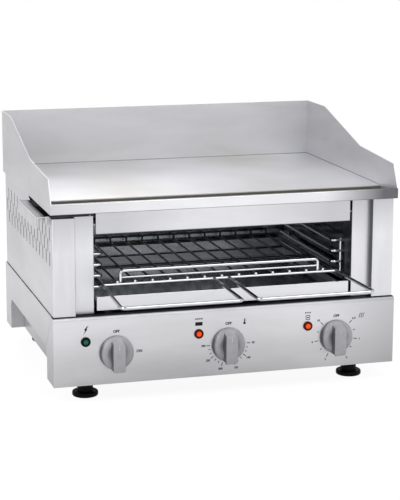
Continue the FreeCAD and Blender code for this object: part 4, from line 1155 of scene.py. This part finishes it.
@dataclass
class Stage:
    """Floor, soft light and the photograph's camera.

    The glow, depth and sky stops are levels of reflected light by distance from the machine, from
    front to back and by height. The camera's place is in mm from the panel's lower front edge.
    """

    from_panel: Triple = (-821.2, -2632.3, 814.7)
    azimuth: float = -16.30
    elevation: float = 12.17
    roll: float = 0.20
    lens: float = 119.2
    sensor: float = 36.0
    sight: float = 50.0
    floor_half: float = 6.0
    paper: str = "F0F0F0"
    paper_shown: float = 0.9
    paper_light: float = 1.03
    glow: Stops = ((0.0, 0.2), (0.1, 0.36), (0.2, 0.68), (0.34, 0.98), (0.6, 1.0), (0.75, 1.12))
    glow_reach: float = 2.4
    glow_light: float = 1.6
    depth: Stops = ((0.0, 0.96), (0.2, 1.0), (0.45, 0.8), (0.7, 0.58), (1.0, 0.46))
    depth_from: float = -2.0
    depth_to: float = 2.4
    sky: Stops = ((0.0, 0.62), (0.35, 0.72), (1.0, 0.95))
    left_light: float = 0.72
    lamps: tuple[Lamp, ...] = (
        Lamp("key", (0.7, -1.7, 2.3), (0, 0, 0.2), (1.6, 1.2), 22),
        Lamp("back", (-0.2, 1.9, 1.35), (0, 0.1, 0.34), (1.6, 1.0), 8),
        Lamp("left", (-1.9, -0.9, 1.5), (0.3, 0.1, 0.36), (1.2, 1.2), 24))

    def paper_floor(self) -> bpy.types.Material:
        """Makes paper that is white to the camera apart from soft shadow.

        Returns:
            The material.
        """
        made = bpy.data.materials.new("pale_floor")
        made.use_nodes = True
        tree = made.node_tree
        tree.nodes.remove(tree.nodes["Principled BSDF"])
        matt = add_node(tree, "BsdfDiffuse", values={"Color": linear(self.paper)})
        white = add_node(tree, "Emission", values={"Color": WHITE, "Strength": self.paper_light})
        seen_by_camera = add_node(tree, "LightPath").outputs["Is Camera Ray"]
        share = add_node(tree, "Math", {0: seen_by_camera}, {1: self.paper_shown},
                         operation="MULTIPLY")
        seen = add_node(tree, "MixShader", {0: share.outputs[0], 1: matt.outputs[0],
                                            2: white.outputs[0]})
        # In reflections the paper is dimmer close to the machine, which shades it, and behind it.
        place = add_node(tree, "TexCoord").outputs["Object"]
        away = add_node(tree, "VectorMath", {0: place}, operation="LENGTH")
        reach = add_node(tree, "MapRange", {"Value": away.outputs["Value"]},
                         {"From Min": 0.0, "From Max": self.glow_reach})
        glow = add_node(tree, "ValToRGB", {"Fac": reach.outputs[0]}, stops=self.glow)
        split = add_node(tree, "SeparateXYZ", {0: place})
        behind = add_node(tree, "MapRange", {"Value": split.outputs["Y"]},
                          {"From Min": self.depth_from, "From Max": self.depth_to})
        lit = add_node(tree, "ValToRGB", {"Fac": behind.outputs[0]}, stops=self.depth)
        shaded = add_node(tree, "Mix", {6: glow.outputs[0], 7: lit.outputs[0]}, {"Factor": 1.0},
                          data_type="RGBA", blend_type="MULTIPLY")
        sweep = add_node(tree, "Emission", {"Color": shaded.outputs[2]},
                         {"Strength": self.glow_light})
        mixed = add_node(tree, "MixShader", {0: seen_by_camera, 1: sweep.outputs[0],
                                             2: seen.outputs[0]})
        tree.links.new(mixed.outputs[0], tree.nodes["Material Output"].inputs["Surface"])
        return made

    def floor(self) -> None:
        """Lays the paper floor."""
        shape = bmesh.new()
        bmesh.ops.create_grid(shape, x_segments=1, y_segments=1, size=self.floor_half)
        data = bpy.data.meshes.new("floor")
        shape.to_mesh(data)
        shape.free()
        data.materials.append(self.paper_floor())
        thing = add_object("floor", data)

    def world(self) -> None:
        """Surrounds the scene with soft light, a little darker towards the left and below."""
        world = bpy.data.worlds.new("studio")
        bpy.context.scene.world = world
        world.use_nodes = True
        tree = world.node_tree
        direction = add_node(tree, "TexCoord").outputs["Generated"]
        split = add_node(tree, "SeparateXYZ", {0: direction})
        height = add_node(tree, "MapRange", {"Value": split.outputs["Z"]},
                          {"From Min": -0.2, "From Max": 0.9})
        side = add_node(tree, "MapRange", {"Value": split.outputs["X"]},
                        {"From Min": -1.0, "From Max": 0.4, "To Min": self.left_light})
        band = add_node(tree, "ValToRGB", {"Fac": height.outputs[0]}, stops=self.sky)
        lit = add_node(tree, "Mix", {6: band.outputs[0], 7: side.outputs[0]}, {"Factor": 1.0},
                       data_type="RGBA", blend_type="MULTIPLY")
        seen_by_camera = add_node(tree, "LightPath").outputs["Is Camera Ray"]
        seen = add_node(tree, "Mix", {"Factor": seen_by_camera, 6: lit.outputs[2]}, {7: WHITE},
                        data_type="RGBA")
        background = tree.nodes["Background"]
        tree.links.new(seen.outputs[2], background.inputs["Color"])
        background.inputs["Strength"].default_value = 1.0

    def camera(self) -> None:
        """Stands the camera where the photograph was taken from."""
        azimuth, elevation, roll = (math.radians(angle) for angle in
                                    (self.azimuth, self.elevation, self.roll))
        forward = Vector((-math.sin(azimuth) * math.cos(elevation),
                          math.cos(azimuth) * math.cos(elevation), -math.sin(elevation)))
        right = forward.cross(Vector((0, 0, 1))).normalized()
        up = right.cross(forward)
        tilted = right * math.cos(roll) + up * math.sin(roll)
        upright = tilted.cross(forward)
        data = bpy.data.cameras.new("camera")
        data.lens = self.lens
        data.sensor_width = self.sensor
        data.clip_end = self.sight
        thing = add_object("camera", data)
        low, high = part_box("base_front_panel")
        eye = Vector(((low[0] + high[0]) / 2, low[1], low[2])) + Vector(self.from_panel) * MM
        turn = Matrix((tilted, upright, -forward)).transposed()
        thing.matrix_world = Matrix.Translation(eye) @ turn.to_4x4()
        bpy.context.scene.camera = thing

    def build(self) -> None:
        """Builds camera, floor and light."""
        self.camera()
        self.floor()
        self.world()
        for lamp in self.lamps:
            lamp.build()
        bpy.context.scene.view_settings.view_transform = "Standard"
        LOG.info("stage: floor, %d lamps and camera", len(self.lamps))


def main() -> None:
    """Builds the stage, dresses the CAD and adds the modelled details."""
    logging.basicConfig(level=logging.INFO, format="%(name)s: %(message)s")
    Stage().build()
    dress_nodes()
    Controls().build()
    RackDetails().build()
    PlateDetails().build()


if __name__ == "__main__":
    main()
